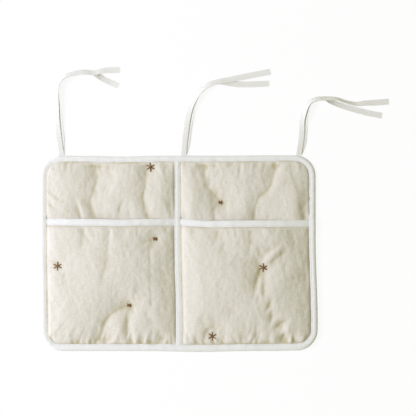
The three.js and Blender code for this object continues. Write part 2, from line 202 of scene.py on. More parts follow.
def setPointData(piece, name, kind, field, values):
    attribute = piece.data.attributes.new(name, kind, "POINT")
    attribute.data.foreach_set(field, np.ascontiguousarray(values, np.float32).ravel())


# painted shade: a per-point share of olive colour for the cloth's creases and hollows
def setPaintedCreaseShade(piece, values):
    setPointData(piece, "paintedCreaseShade", "FLOAT", "value", values)


def setTape(piece, along, across):
    # a tape's own coordinates: along it and across it
    places = np.stack([along, across, 0 * along], axis=-1) * mm
    setPointData(piece, "tape", "FLOAT_VECTOR", "vector", places)


# Materials

def linear(hexColour):
    channels = [int(hexColour[k:k + 2], 16) / 255 for k in (0, 2, 4)]
    return (*[c / 12.92 if c <= 0.04045 else ((c + 0.055) / 1.055) ** 2.4 for c in channels], 1)


def addNode(tree, kind, inputs=None, **settings):
    node = tree.nodes.new(kind)
    for setting, value in settings.items():
        setattr(node, setting, value)
    for socket, value in (inputs or {}).items():
        if isinstance(value, bpy.types.NodeSocket):
            tree.links.new(value, node.inputs[socket])
        else:
            node.inputs[socket].default_value = value
    return node


def newMaterial(name):
    material = bpy.data.materials.new(name)
    material.use_nodes = True
    material.node_tree.nodes.clear()
    return material, material.node_tree


def bands(tree, place, period, direction="X", **inputs):
    # a band texture repeats every 2 pi / 20 of its scaled coordinate
    inputs = {"Vector": place, "Scale": 2 * math.pi / (20 * period * mm), **inputs}
    return addNode(tree, "ShaderNodeTexWave", inputs, bands_direction=direction).outputs["Fac"]


def flecks(tree, place, size, **inputs):
    inputs = {"Vector": place, "Scale": 1 / (size * mm), **inputs}
    return addNode(tree, "ShaderNodeTexNoise", inputs).outputs["Fac"]


def mapped(tree, place, **inputs):
    return addNode(tree, "ShaderNodeMapping", {"Vector": place, **inputs}).outputs["Vector"]


def bumped(tree, height, strength, distance, **inputs):
    inputs = {"Height": height, "Strength": strength, "Distance": distance * mm, **inputs}
    return addNode(tree, "ShaderNodeBump", inputs).outputs["Normal"]


def blended(tree, share, low, high):
    return addNode(tree, "ShaderNodeMix", {0: share, 6: low, 7: high}, data_type="RGBA").outputs[2]


def tapePlace(tree):
    return addNode(tree, "ShaderNodeAttribute", attribute_name="tape").outputs["Vector"]


def addSurface(tree, inputs):
    shader = addNode(tree, "ShaderNodeBsdfPrincipled", inputs)
    addNode(tree, "ShaderNodeOutputMaterial", {"Surface": shader.outputs["BSDF"]})


cottonLook = {
    # the olive third colour is painted shade, mixed in where the cloth creases and hollows
    "colour": "d3cec0", "paler": "e4e0d5", "paintedCreaseShadeColour": "b8ad80",
    "thread": 2.0,  # the real threads are 0.4 mm apart; drawn coarser, or they would not show
    "slub": 9, "slubStretch": (1, 5, 1), "crumple": 9, "crumpleStretch": (1.1, 0.75, 1), "roughness": 0.95,
}


def washedCotton():
    # plain-woven unbleached cotton, washed and pressed: matt, with faint slubs and a soft crumple;
    # painted olive shade is mixed into the colour where the cloth creases and hollows
    material, tree = newMaterial("washedCotton")
    place = addNode(tree, "ShaderNodeTexCoord").outputs["Object"]
    warp, weft = (bands(tree, place, cottonLook["thread"], way, Distortion=0.8, Detail=1.0) for way in "XY")
    weave = addNode(tree, "ShaderNodeMath", {0: warp, 1: weft}, operation="MULTIPLY").outputs["Value"]
    slub = flecks(tree, mapped(tree, place, Scale=cottonLook["slubStretch"]), cottonLook["slub"], Detail=3.0)
    crumple = flecks(tree, mapped(tree, place, Scale=cottonLook["crumpleStretch"]), cottonLook["crumple"],
                     Detail=4.0, Roughness=0.6, Distortion=0.25)
    threads = bumped(tree, weave, strength=0.5, distance=0.2)
    body = blended(tree, slub, linear(cottonLook["colour"]), linear(cottonLook["paler"]))
    # painted shade: the per-point crease share mixes olive into the colour in creases and hollows
    paintedCreaseShade = addNode(tree, "ShaderNodeAttribute", attribute_name="paintedCreaseShade").outputs["Fac"]
    addSurface(tree, {
        "Base Color": blended(tree, paintedCreaseShade, body, linear(cottonLook["paintedCreaseShadeColour"])),
        "Roughness": cottonLook["roughness"], "IOR": 1.45,
        "Specular IOR Level": 0.2, "Sheen Weight": 0.12, "Sheen Roughness": 0.5,
        "Normal": bumped(tree, crumple, strength=0.5, distance=2.0, Normal=threads),
    })
    return material


tapeLook = {
    "sewn": ("f1f1ef", "e8e8e5"), "tail": ("f1f0ec", "eae9e4"),  # where the fibres are high and low
    "rib": 2.4,  # twill ribs are 0.6 mm apart on the real tape; drawn coarser, or they would not show
    "slant": 45, "fibre": 7, "roughness": 0.85,
    "lightDepth": 2.5, "sewnLightThrough": 0.3, "tailLightThrough": 0.25,
}


def cottonTwillTape(name, colours, lightThrough):
    # bleached cotton twill, pressed flat: a dull soft white with fine slanting ribs along the tape, thin
    # enough that some light comes through
    material, tree = newMaterial(name)
    place = tapePlace(tree)
    slanted = mapped(tree, place, Rotation=(0, 0, math.radians(tapeLook["slant"])))
    ribs = bumped(tree, bands(tree, slanted, tapeLook["rib"], Distortion=0.4), strength=0.3, distance=0.12)
    fibre = flecks(tree, place, tapeLook["fibre"], Detail=4.0)
    addSurface(tree, {
        "Base Color": blended(tree, fibre, linear(colours[1]), linear(colours[0])),
        "Roughness": tapeLook["roughness"], "IOR": 1.45,
        "Specular IOR Level": 0.25, "Sheen Weight": 0.1, "Sheen Roughness": 0.4,
        "Subsurface Weight": lightThrough, "Subsurface Radius": (1.0, 0.95, 0.85),
        "Subsurface Scale": tapeLook["lightDepth"] * mm,
        "Normal": bumped(tree, fibre, strength=0.4, distance=0.6, Normal=ribs),
    })
    return material


# the floss's shade colour is painted shade for the grooves of its twist
flossLook = {"colour": "96703f", "shade": "5e4522", "twist": 2.2, "slant": 35, "roughness": 0.6}


def strandedFloss():
    # six-strand cotton embroidery floss: brown, with a soft lustre, a slanting twist and painted shade in its
    # grooves
    material, tree = newMaterial("strandedFloss")
    slanted = mapped(tree, tapePlace(tree), Rotation=(0, 0, math.radians(flossLook["slant"])))
    twist = bands(tree, slanted, flossLook["twist"], Distortion=0.6)
    addSurface(tree, {
        # painted shade: the darker brown lies in the twist's grooves, where the bump is low
        "Base Color": blended(tree, twist, linear(flossLook["shade"]), linear(flossLook["colour"])),
        "Roughness": flossLook["roughness"], "IOR": 1.5, "Sheen Weight": 0.2, "Sheen Roughness": 0.4,
        "Normal": bumped(tree, twist, strength=0.6, distance=0.15),
    })
    return material


threadLook = {"colour": "f1efea", "shade": "d8d5cc", "fleck": 1.5, "roughness": 0.7}


def sewingThread():
    # spun polyester sewing thread, off-white, a little brighter than the tape it holds
    material, tree = newMaterial("sewingThread")
    place = addNode(tree, "ShaderNodeTexCoord").outputs["Object"]
    fleck = flecks(tree, place, threadLook["fleck"], Detail=2.0)
    addSurface(tree, {
        "Base Color": blended(tree, fleck, linear(threadLook["shade"]), linear(threadLook["colour"])),
        "Roughness": threadLook["roughness"], "IOR": 1.5,
        "Normal": bumped(tree, fleck, strength=0.4, distance=0.1),
    })
    return material


cotton = washedCotton()
twill = cottonTwillTape("cottonTwillTape", tapeLook["sewn"], tapeLook["sewnLightThrough"])
thinTwill = cottonTwillTape("thinCottonTwillTape", tapeLook["tail"], tapeLook["tailLightThrough"])
floss = strandedFloss()
seamThread = sewingThread()
print("materials ready")


# Camera, light and floor

camera = {"height": 2200, "frameWidth": photo["size"] * photo["mmPerPixel"], "sensor": 36, "far": 20000}
light = {
    "elevation": 36, "from": 178, "distance": 3600, "size": 1560, "windowShare": 0.61, "level": 1.005,
    "windowColour": (0.948, 0.958, 1.225), "fillColour": (1.083, 1.065, 0.66), "shadowKept": 0.1,
}
paper = {"half": 6000, "height": -0.4, "colour": "fbfbfa"}


def addCamera():
    lens = bpy.data.cameras.new("camera")
    lens.sensor_width = camera["sensor"]
    lens.lens = camera["sensor"] * camera["height"] / camera["frameWidth"]
    lens.clip_end = camera["far"] * mm
    eye = addObject("camera", lens)
    middle = fromPhoto((photo["size"] / 2, photo["size"] / 2))
    eye.location = (middle[0] * mm, middle[1] * mm, camera["height"] * mm)
    bpy.context.scene.camera = eye


def addLight():
    # window and room share the light on level cloth at the panel's middle, so a colour renders there as
    # it is written; a disc's power is pi squared times distance squared over the sine of its height
    lamp = bpy.data.lights.new("window", "AREA")
    lamp.shape = "DISK"
    lamp.size = light["size"] * mm
    height, away = math.radians(light["elevation"]), light["distance"] * mm
    lamp.energy = light["level"] * light["windowShare"] * (math.pi * away) ** 2 / math.sin(height)
    lamp.color = light["windowColour"]
    window = addObject("window", lamp)
    turn = math.radians(light["from"])
    level = away * math.cos(height)
    window.location = (level * math.cos(turn), level * math.sin(turn), away * math.sin(height))
    window.rotation_euler = (0, math.pi / 2 - height, turn)
    world = bpy.data.worlds.new("room")
    bpy.context.scene.world = world
    world.use_nodes = True
    background = world.node_tree.nodes["Background"]
    background.inputs["Color"].default_value = (*light["fillColour"], 1)
    background.inputs["Strength"].default_value = light["level"] * (1 - light["windowShare"])


def addFloor():
    # white paper: the camera sees plain white with a part of the object's shadow left in it
    ends = np.linspace(-paper["half"], paper["half"], 2)
    x, y = np.meshgrid(ends, ends)
    points = np.stack([x, y, np.full_like(x, paper["height"])], axis=2).reshape(-1, 3)
    material, tree = newMaterial("whitePaper")
    matt = addNode(tree, "ShaderNodeBsdfDiffuse", {"Color": linear(paper["colour"])})
    glow = addNode(tree, "ShaderNodeEmission", {"Color": (1, 1, 1, 1), "Strength": 1})
    path = addNode(tree, "ShaderNodeLightPath")
    seen = path.outputs["Is Camera Ray"]
    for ray in ("Is Glossy Ray", "Is Transmission Ray"):
        either = {0: seen, 1: path.outputs[ray]}
        seen = addNode(tree, "ShaderNodeMath", either, operation="ADD", use_clamp=True).outputs["Value"]
    share = addNode(tree, "ShaderNodeMath", {0: seen, 1: 1 - light["shadowKept"]}, operation="MULTIPLY")
    shader = addNode(tree, "ShaderNodeMixShader", {
        0: share.outputs["Value"], 1: matt.outputs["BSDF"], 2: glow.outputs["Emission"],
    })
    addNode(tree, "ShaderNodeOutputMaterial", {"Surface": shader.outputs["Shader"]})
    floor = addMesh("floor", points, gridFaces(2, 2))
    floor.data.materials.append(material)


addCamera()
addLight()
addFloor()
bpy.context.scene.view_settings.view_transform = "Standard"
print("camera, light and floor ready")


# Ties: three tapes folded in half at the top edge, each with two free tails.
# Points are x, y from the fold and lean in degrees: 0 flat on the ground, 90 on its edge, below 0 on its
# other side.

tieShape = {
    "width": 11, "thickness": 0.7, "floorGap": 0.4, "layerGap": 0.15,
    "fan": 2.5, "fanRun": 10, "fanEnd": (70, 108), "perSpan": 8, "foldSteps": 6,
}
ties = {
    "left": {
        "node": "left_tie", "body": "left_tie_tape", "x": -216,
        "stem": [(0, 0, 0), (-2, 27, 0), (-3.5, 40, 3), (-6, 64, 10), (-7.7, 88, 24), (-8.6, 112, 42),
                 (-5.5, 131, 50), (5.8, 143, 46), (21.7, 148.6, 36), (40, 151, 30), (58.4, 149.2, 30)],
        "front": [(76.7, 154.1, 18), (92, 155, 6), (106, 155.4, 0)],
        "back": [(67.4, 144.1, 24), (76.7, 138.2, 8), (90.2, 131.6, 0), (103, 126, -2)],
    },
    "centre": {
        "node": "centre_tie", "body": "centre_tie_tape", "x": 7,
        "stem": [(0, 0, 0), (3.5, 20, 0), (6.8, 45.4, 2), (10.6, 71.2, 9), (15, 90.3, 20),
                 (24.7, 109.5, 36), (32.7, 118.5, 40), (46.8, 128.7, 34), (64.7, 133.8, 24)],
        "front": [(84, 137.5, 15), (103.3, 141.6, 6), (128.8, 146.6, 2), (158.4, 152.5, 0)],
        "back": [(83.9, 130.6, 15), (103.3, 129, 6), (128.8, 129.2, 2), (155.9, 130.7, 0)],
    },
    "right": {
        "node": "right_tie", "body": "right_tie_tape", "x": 217,
        "stem": [(0, 0, 0), (5.6, 20.7, 0), (7.3, 34.3, 2), (8, 47.6, 7), (8, 60.9, 15), (12.6, 81, 32),
                 (19.3, 94.6, 46), (32.7, 101.9, 46), (48.7, 102.8, 42)],
        "front": [(68.8, 102.4, 50), (82.3, 98, 54), (95.7, 94.5, 48), (106.5, 93, 38), (122.5, 94.8, 22),
                  (142.6, 95.8, 8), (164.7, 97.8, 0)],
        "back": [(56.5, 98, 36), (68.8, 93.2, 24), (89, 86.6, 11), (109, 81.2, 3), (129.1, 76, 0),
                 (152, 71.7, 0)],
    },
}
tieSpacing = tieShape["thickness"] + tieShape["layerGap"]
tieFoldRadius = (tieSpacing + tieShape["thickness"]) / 2
joints = {joint["name"]: joint for joint in frame["record"]["behaviour"]["joints"]}
tieFold = np.array(joints["left_tie_swing"]["pos_m"])[1:] / mm  # y and z of the fold's middle


def tapeDirections(heading, lean):
    # left of the heading on the ground; out of the tape and across it turn from there by the lean
    flat = heading[:, :2] / np.linalg.norm(heading[:, :2], axis=1, keepdims=True)
    left = np.stack([-flat[:, 1], flat[:, 0], np.zeros(len(flat))], axis=1)
    up = np.array([0, 0, 1.0])
    cosine, sine = np.cos(lean)[:, None], np.sin(lean)[:, None]
    return left, cosine * up + sine * left, sine * up - cosine * left


def tailRoute(tie, end, side):
    # middles of one tail: stem points stacked beside the other tail, then its own points on the floor
    route = np.array(tie["stem"] + tie[end], float)
    together = np.arange(len(route)) < len(tie["stem"])
    lean = np.radians(route[:, 2])
    heading = np.zeros((len(route), 3))
    heading[1:-1, :2] = route[2:, :2] - route[:-2, :2]
    heading[0, :2], heading[-1, :2] = route[1, :2] - route[0, :2], route[-1, :2] - route[-2, :2]
    left, normal, _ = tapeDirections(heading, lean)
    stack = np.where(together, tieFoldRadius, tieShape["thickness"] / 2)
    rest = tieShape["floorGap"] + tieShape["width"] / 2 * np.abs(np.sin(lean)) + stack * np.cos(lean)
    rest[0] = tieFold[1]
    middle = np.stack([tie["x"] + route[:, 0], tieFold[0] + route[:, 1], rest], axis=1)
    fan = smooth(0, tieShape["fanRun"], route[:, 1]) * (1 - smooth(*tieShape["fanEnd"], route[:, 1]))
    middle += np.where(together, side * tieSpacing / 2, 0)[:, None] * normal
    middle += np.where(together, side * tieShape["fan"] * fan, 0)[:, None] * left
    return middle, lean


def tapeRing(width, thickness):
    # a flat tape's section: two straight faces and half-round edges; points close to each edge keep the
    # shading of the faces flat
    w, t = width / 2, thickness / 2
    across = np.array([w - t, w - 3 * t, 0, 3 * t - w, t - w])
    upper = np.stack([across, np.full_like(across, t)], axis=1)
    return np.vstack([upper, (-w, 0), -upper, (w, 0)])


def makeTail(label, tie, end, side):
    middle, lean = tailRoute(tie, end, side)
    path = curveThrough(middle, tieShape["perSpan"])
    leans = curveThrough(lean[:, None], tieShape["perSpan"])[:, 0]
    heading = np.gradient(path, axis=0)
    heading[0] = (0, 1, 0)
    _, normal, across = tapeDirections(heading, leans)
    # half of the fold, from its foremost line round to the flat tape
    turn = np.linspace(math.pi, math.pi / 2, tieShape["foldSteps"], endpoint=False)
    outward = np.stack([np.zeros_like(turn), np.cos(turn), side * np.sin(turn)], axis=1)
    path = np.vstack([np.array([tie["x"], *tieFold]) + outward * tieSpacing / 2, path])
    normal = np.vstack([outward, normal * side])
    across = np.vstack([np.tile((1.0, 0, 0), (len(turn), 1)), across])
    ring = tapeRing(tieShape["width"], tieShape["thickness"])
    sections = path[:, None, :] + ring[:, :1] * across[:, None, :] + ring[:, 1:] * normal[:, None, :]
    points, faces = tube(sections, False)
    name = f"{label}Tie{end.capitalize()}Tail"
    piece = makePiece(name, points, faces, thinTwill)
    run = runAlong(path)
    setTape(piece, np.repeat(run, len(ring)), np.tile(ring[:, 0], len(path)))
    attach(piece, tie["body"])
    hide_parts(tie["node"])
    print(f"{name}: {run[-1]:.0f} mm long")


for label, tie in ties.items():
    makeTail(label, tie, "front", 1)
    makeTail(label, tie, "back", -1)
print("ties ready")


# Panel: its outline, and the seams that the tapes cover.
# A key that ends in From is the stretch over which something sets in, and one that ends in PastMouth is
# measured up from the line of the pockets' mouths.

panelHalf = boxOf("edge_binding")[1][:2]  # half width and half height
mouthY = boxOf("left_pocket_hem")[1][1]
panelShape = {
    "corner": 38, "seamTop": 3.9, "onPanel": 4.2,
    "crown": 7.5, "crownBehind": 1.6, "crownRun": 30, "fallRun": 40,
    "tuck": 3,  # cloth that runs on under a tape
    "columns": 240, "rowsBehind": 30, "rowsAbove": 64, "rowsPastMouth": -25,
    "crownPastMouth": (-20, 26), "reliefPastMouth": (-14, 8), "freePastMouth": (-12, 4),
    "reliefRun": 12, "pulls": (1, 0.4), "tapePull": 0.4,  # the sides and the centre tape gather less
    "dip": -0.4, "least": -0.8, "besidePocket": 8, "underPocket": 0.5, "tapeHold": 1.5,
    "back": 1.0, "backAtEdge": 2.0, "backRun": 20,
    "seeds": {"folds": 24, "lumps": 20, "edge": 28, "tape": 33, "crinkle": 50},
}
bindingLegs = {"left": 12, "right": 12, "top": 11, "bottom": 13}  # tape seen on the front
centreTape = {
    "topX": -1.9, "bottomX": -0.3, "topWidth": 10.5, "bottomWidth": 13, "thickness": 0.8,
    "spacing": 3, "overHem": 1.6, "hemAt": -6, "hemRun": 8, "pocketPastMouth": (-4, 8),
    "tilt": 0.08, "raise": 0.3,
    "endTuck": 2, "widthNoise": (0.25, 15), "middleNoise": (0.4, 40), "levelNoise": (0.15, 9), "seed": 80,
}
clothFoot = -panelHalf[1] + bindingLegs["bottom"] - panelShape["tuck"]


def pastMouth(limits, y):
    # an S curve over a stretch measured from the line of the mouths
    return smooth(mouthY + limits[0], mouthY + limits[1], y)


def besideCorner(x, y):
    # distances past the lines where the corner arcs begin, negative on the straights
    start = panelHalf - panelShape["corner"]
    return np.abs(x) - start[0], np.abs(y) - start[1]


def insideEdge(x, y):
    # distance in from the rounded outline: radius less the distance from the arcs' centre lines
    overX, overY = besideCorner(x, y)
    outside = np.hypot(np.maximum(overX, 0), np.maximum(overY, 0))
    return panelShape["corner"] - outside - np.minimum(np.maximum(overX, overY), 0)


def legAt(x, y):
    # tape width on the front: a side's own width on the straights, turning into the next at a corner
    overX, overY = besideCorner(x, y)
    turned = smooth(0, math.pi / 2, np.arctan2(np.maximum(overY, 0), np.maximum(overX, 0)))
    beside = np.where(x < 0, bindingLegs["left"], bindingLegs["right"])
    across = np.where(y < 0, bindingLegs["bottom"], bindingLegs["top"])
    return mix(beside, across, turned)


def edgeX(y, inset):
    # half width of the outline moved in by an inset, along one row
    radius = panelShape["corner"] - inset
    over = np.clip(np.abs(y) - (panelHalf[1] - panelShape["corner"]), 0, radius)
    return panelHalf[0] - inset - radius + np.sqrt(radius**2 - over**2)


def tapeValue(y, low, high):
    # from the foot of the centre tape to its top
    return mix(centreTape[low], centreTape[high], (y + panelHalf[1]) / (2 * panelHalf[1]))


def tapeMiddle(y):
    return tapeValue(y, "bottomX", "topX")


def tapeHalf(y):
    return tapeValue(y, "bottomWidth", "topWidth") / 2


def seamGaps(x, y):
    # distances from the binding and from the centre tape, negative under them
    return insideEdge(x, y) - legAt(x, y), np.abs(x - tapeMiddle(y)) - tapeHalf(y)


laid = {
    "lean": 2.2, "leanFrom": (-122, 24),  # the upper part lies this far to the left
    "leftOut": 3, "rightOut": 1.5, "sideFrom": (60, 250),
    "topDip": -1.6, "dipAt": (-105, 35), "topRises": [(0.2, (-90, -30)), (0.8, (60, 200))],
    "bottomSag": -1.8, "sagAt": (35, 55), "bottomRise": 1.0, "riseFrom": (150, 250),
    "mouthDrop": -3.3, "dropFrom": (0, 60), "dropRun": 45,
}


def settle(points):
    # hand-laid cloth is never square: each edge wanders as on the photograph, and what is inside goes along
    x, y = points[..., 0], points[..., 1]
    up = smooth(-panelHalf[1], panelHalf[1], y)
    upper = smooth(*laid["leanFrom"], y)
    left, right = smooth(*laid["sideFrom"], -x), smooth(*laid["sideFrom"], x)
    top = laid["topDip"] * bell(x, *laid["dipAt"])
    top += sum(rise * smooth(*start, x) for rise, start in laid["topRises"])
    bottom = laid["bottomSag"] * bell(x, *laid["sagAt"]) + laid["bottomRise"] * smooth(*laid["riseFrom"], x)
    mouth = laid["mouthDrop"] * smooth(*laid["dropFrom"], x) * bell(y, mouthY, laid["dropRun"])
    moved = points.copy()
    moved[..., 0] += laid["rightOut"] * right * (1 - upper) - laid["lean"] * upper - laid["leftOut"] * left
    moved[..., 1] += up * top + (1 - up) * bottom + mouth
    return moved


def settledPlace(x, y):
    placed = settle(np.stack([x, y, 0 * x], axis=-1))
    return placed[..., 0], placed[..., 1]


# Tufts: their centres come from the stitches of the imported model

tuftNames = [node for node in frame["nodes"] if node.startswith(("star_", "knot_"))]
tuftShape = {
    "pull": 0.5, "pullRun": 15, "backRun": 9, "fade": 1.4,
    "cone": 1.1, "coneRun": 8, "ray": 0.25, "rayFrom": (3, 9), "rayRun": 15,
    "rays": 14, "raySlide": 40, "rayDrift": 0.05, "rayCell": 2.0, "seed": 90,
    "rim": (2, 6), "wideRim": (2, 16),
}


def surfaceOf(node):
    return next((side for side in pockets if f"_{side}_pocket" in node), "panel")


def tuftsOn(surface):
    return [node for node in tuftNames if surfaceOf(node) == surface]


def tuftCentre(node):
    return boxOf(node).mean(axis=0)[:2]


def fromTuft(x, y, node):
    # distances from the middle of a tuft along x and y
    centre = tuftCentre(node)
    return x - centre[0], y - centre[1]


def tuftShare(x, y, names, run):
    # padding left beside the stitches: each draws a round hollow, deepest at its middle
    share = np.ones_like(x)
    for node in names:
        share *= 1 - tuftShape["pull"] * np.exp(-np.hypot(*fromTuft(x, y, node)) / run * tuftShape["fade"])
    return share


def tuftHold(x, y, names, rim):
    # 1 under each stitch, fading at its rim
    hold = np.zeros_like(x)
    for node in names:
        hold = np.maximum(hold, 1 - smooth(*rim, np.hypot(*fromTuft(x, y, node))))
    return hold


def tuftRelief(x, y, names):
    # a stitch draws a cone into the padding, with short creases running out from it
    height = np.zeros_like(x)
    for k, node in enumerate(names):
        offX, offY = fromTuft(x, y, node)
        radius = np.hypot(offX, offY)
        turn = np.arctan2(offY, offX) * tuftShape["rays"] / math.pi + tuftShape["raySlide"]
        rays = noise(turn, radius * tuftShape["rayDrift"], tuftShape["rayCell"], tuftShape["seed"] + k)
        rays = tuftShape["ray"] * rays * smooth(*tuftShape["rayFrom"], radius)
        rays *= np.exp(-radius / tuftShape["rayRun"])
        height -= tuftShape["cone"] * np.exp(-radius / tuftShape["coneRun"]) - rays
    return height


# Folds: lines read off the photograph in its pixels, drawn downwards, as (depth, widths, ends, line).
# The first width is on the photograph's left of the line and the second on its right. An end is 1 where
# a seam or a tuft holds the fold open and 0 where it runs out. A negative depth is a ridge.

panelFolds = [
    (6.5, (22, 34), (1, 1), [(93.6, 158), (97.1, 177), (94.5, 190), (90.9, 203.6), (95.4, 222)]),
    (4.0, (11, 14), (0, 1), [(72, 192), (78, 207), (82, 222)]),
    (-1.4, (6, 10), (0, 1), [(79.3, 194), (83, 207), (87.5, 221)]),
    (2.8, (6, 24), (1, 0), [(46, 189), (58, 198), (72, 208)]),
    (2.4, (6, 18), (1, 0), [(47, 203), (56, 209), (70, 219)]),
    (4.5, (13, 18), (1, 1), [(146.3, 166), (145.4, 185.7), (143.6, 200), (149, 220)]),
    (1.8, (5, 18), (1, 0), [(165, 157), (165.5, 175), (167, 194)]),
    (1.8, (5, 18), (0, 1), [(163, 192), (169, 207), (175, 222)]),
    (-2.1, (14, 26), (1, 0), [(127, 158), (119, 182), (109, 208)]),
    (2.2, (6, 27), (0, 1), [(131, 188), (122, 203), (115, 220)]),
    (6.0, (19, 34), (1, 1), [(203, 158), (206.3, 185), (210.9, 190.5), (218, 199), (220.5, 204)]),
    (3.6, (11, 18), (1, 1), [(219.9, 202), (214.6, 208.8), (214.6, 222)]),
    (-1.4, (9, 17), (1, 0), [(246, 158), (240.3, 175.7), (226, 200)]),
    (1.8, (5, 15), (1, 0), [(238.9, 158), (238.9, 174), (238.0, 189)]),
    (5.6, (18, 27), (1, 1), [(276, 158), (270.6, 185), (258.6, 198.7), (253, 222)]),
    (-1.8, (9, 17), (1, 0), [(287, 158), (277, 182), (266, 207)]),
    (2.5, (7, 24), (1, 0), [(289, 162), (294, 180), (300, 198)]),
    (2.9, (8, 24), (0, 1), [(296, 196), (302, 210), (305, 222)]),
    (-2.4, (26, 8), (0, 1), [(293, 178), (295, 196), (297, 216)]),
    (-1.3, (9, 12), (0, 1), [(188, 178), (192, 198), (190, 221)]),
    (1.2, (5, 21), (1, 0), [(194, 158), (196, 176), (200, 196)]),
]
leftFolds = [
    (-1.5, (9, 18), (1, 0), [(115.4, 224), (115, 240), (113, 266)]),
    (3.0, (10, 18), (1, 0), [(110.5, 224), (107, 262), (101, 292)]),
    (1.4, (3, 5), (1, 1), [(151, 232), (150.8, 270), (151, 304)]),
    (1.5, (5, 12), (1, 1), [(45, 256), (50, 260), (57, 264)]),
    (1.5, (5, 12), (1, 1), [(44, 267), (50, 266.5), (57, 266)]),
    (1.5, (5, 12), (1, 1), [(45, 278), (50, 273), (57, 268)]),
    (1.8, (5, 18), (0, 1), [(139, 245), (148, 241), (155, 239)]),
    (6.0, (14, 18), (1, 1),
     [(129, 305.5), (123, 307.5), (116, 310.5), (110, 315), (105.8, 321.5), (103, 331), (99, 348)]),
    (5.0, (10, 14), (1, 1), [(129, 306), (127.5, 318), (127.2, 331), (126, 348)]),
    (1.5, (8, 21), (0, 1), [(152, 278), (138, 290), (129.5, 303)]),
    (1.8, (5, 18), (0, 1), [(163, 325), (157, 335.5), (151, 348)]),
    (1.4, (5, 15), (0, 0), [(150, 308), (149, 321), (150, 334)]),
    (1.6, (5, 24), (1, 0), [(86, 224), (84, 240), (80, 262)]),
    (1.5, (5, 21), (0, 1), [(90, 318), (86, 332), (84, 348)]),
]
rightFolds = [
    (2.9, (8, 27), (1, 0), [(220.5, 224), (217, 234), (209, 250)]),
    (1.8, (5, 21), (0, 0), [(229, 236), (224, 245), (217, 258)]),
    (2.9, (8, 21), (1, 0), [(249.6, 224), (249.8, 243), (247, 262)]),
    (2.5, (7, 21), (0, 1), [(256, 230), (258.9, 250), (262, 266)]),
    (-2.6, (6, 9), (0, 1), [(286, 242), (273, 254), (264, 266)]),
    (2.6, (5, 18), (0, 1), [(291, 246), (277, 257), (264, 267)]),
    (3.5, (13, 24), (0, 1), [(254, 246), (256, 261), (260, 272)]),
    (7.0, (10, 13), (1, 0), [(262, 267), (258.4, 274), (255, 286), (253, 306)]),
    (5.0, (6, 10), (1, 0), [(263, 268), (262.6, 284.7), (264, 303)]),
    (4.2, (6, 12), (0, 0), [(272, 295), (268, 305), (263, 316)]),
    (5.2, (8, 12), (0, 0), [(271.5, 303), (271, 316), (270, 328)]),
    (5.2, (9, 15), (0, 0), [(293, 315), (280, 323.5), (269, 332)]),
    (-2.6, (8, 12), (0, 0), [(294, 321), (287, 328), (280, 336)]),
    (5.6, (8, 12), (0, 1), [(284, 327), (283, 337), (282, 348)]),
    (2.2, (6, 21), (1, 1), [(213, 326), (207, 330), (202, 342)]),
    (1.8, (5, 21), (0, 1), [(256, 322), (255, 337), (254, 348)]),
    (2.2, (7, 30), (1, 0), [(288, 224), (294, 244), (297, 268)]),
    (1.8, (6, 27), (0, 0), [(225, 296), (229, 312), (226, 330)]),
    (2.4, (20, 8), (0, 0), [(299, 262), (305, 276), (307, 296)]),
]


foldShape = {
    "wander": 0.8, "wanderCell": 19, "perSpan": 5, "runIn": (0, 0.55), "runOut": (0.45, 1), "endWidth": 0.55,
    "edge": 1.15, "joined": 4,  # powers: of the cusp across a fold, and of the sum where folds meet
}
foldShare = {"before": 0.3, "after": 0.6, "lostAtTuft": 0.35}  # of a depth: before and after the drape


def foldHeights(x, y, folds, seed):
    # each fold is a groove along a line that wanders a little: a cusp across it, narrower and shallower
    # towards an end that runs out; where grooves meet, the deeper one counts
    x, y = wander(x, y, foldShape["wander"], foldShape["wanderCell"], seed)
    valley, ridge = np.zeros_like(x), np.zeros_like(x)
    for depth, widths, ends, line in folds:
        path = curveThrough(fromPhoto(line), foldShape["perSpan"])
        nearest, along, side = np.full_like(x, np.inf), np.zeros_like(x), np.ones_like(x)
        for k, (start, run) in enumerate(zip(path[:-1], np.diff(path, axis=0))):
            share = np.clip(((x - start[0]) * run[0] + (y - start[1]) * run[1]) / (run @ run), 0, 1)
            offX, offY = x - start[0] - share * run[0], y - start[1] - share * run[1]
            gap = np.hypot(offX, offY)
            closer = gap < nearest
            nearest = np.where(closer, gap, nearest)
            along = np.where(closer, (k + share) / (len(path) - 1), along)
            turned = (run[0] * offY - run[1] * offX) / np.maximum(gap * np.hypot(*run), tiny)
            side = np.where(closer, turned, side)
        taper = mix(smooth(*foldShape["runIn"], along), 1, ends[0])
        taper = taper * mix(1 - smooth(*foldShape["runOut"], along), 1, ends[1])
        width = mix(*widths, (1 + side) / 2) * mix(foldShape["endWidth"], 1, taper)
        if depth > 0:
            groove = depth * taper * np.exp(-(nearest / width) ** foldShape["edge"])
            valley += groove ** foldShape["joined"]
        else:
            ridge -= depth * taper * np.exp(-(nearest / width) ** 2)
    return ridge - valley ** (1 / foldShape["joined"])


# Fine relief; each wave is height, stretch and cell, and each crease has a slant's cosine and sine as well

lumpShape = {"wander": 5, "wanderCell": 22, "waves": [(0.6, 0.65, 33), (0.25, 0.7, 15)]}
crinkleShape = {
    "wander": 4, "wanderCell": 17, "level": 0.3, "soft": 0.02, "crimp": (0.16, 0.5, 5),
    "creases": [(0.6, 0.5, 13, 0.94, 0.34), (0.36, 0.6, 8, 0.9, -0.42)],
}
gatherShape = {
    "height": 0.75, "run": 13, "slant": 0.5, "slantCell": 31, "waves": [(1, 0.25, 8), (0.6, 0.3, 4.5)],
}


def waveSum(x, y, waves, seed):
    return sum(height * noise(x, y * stretch, cell, seed + k)
               for k, (height, stretch, cell) in enumerate(waves))


def lumps(x, y, seed):
    # broad soft unevenness of the wadding, drawn out up and down the cloth
    x, y = wander(x, y, lumpShape["wander"], lumpShape["wanderCell"], seed)
    return waveSum(x, y, lumpShape["waves"], seed + 2)


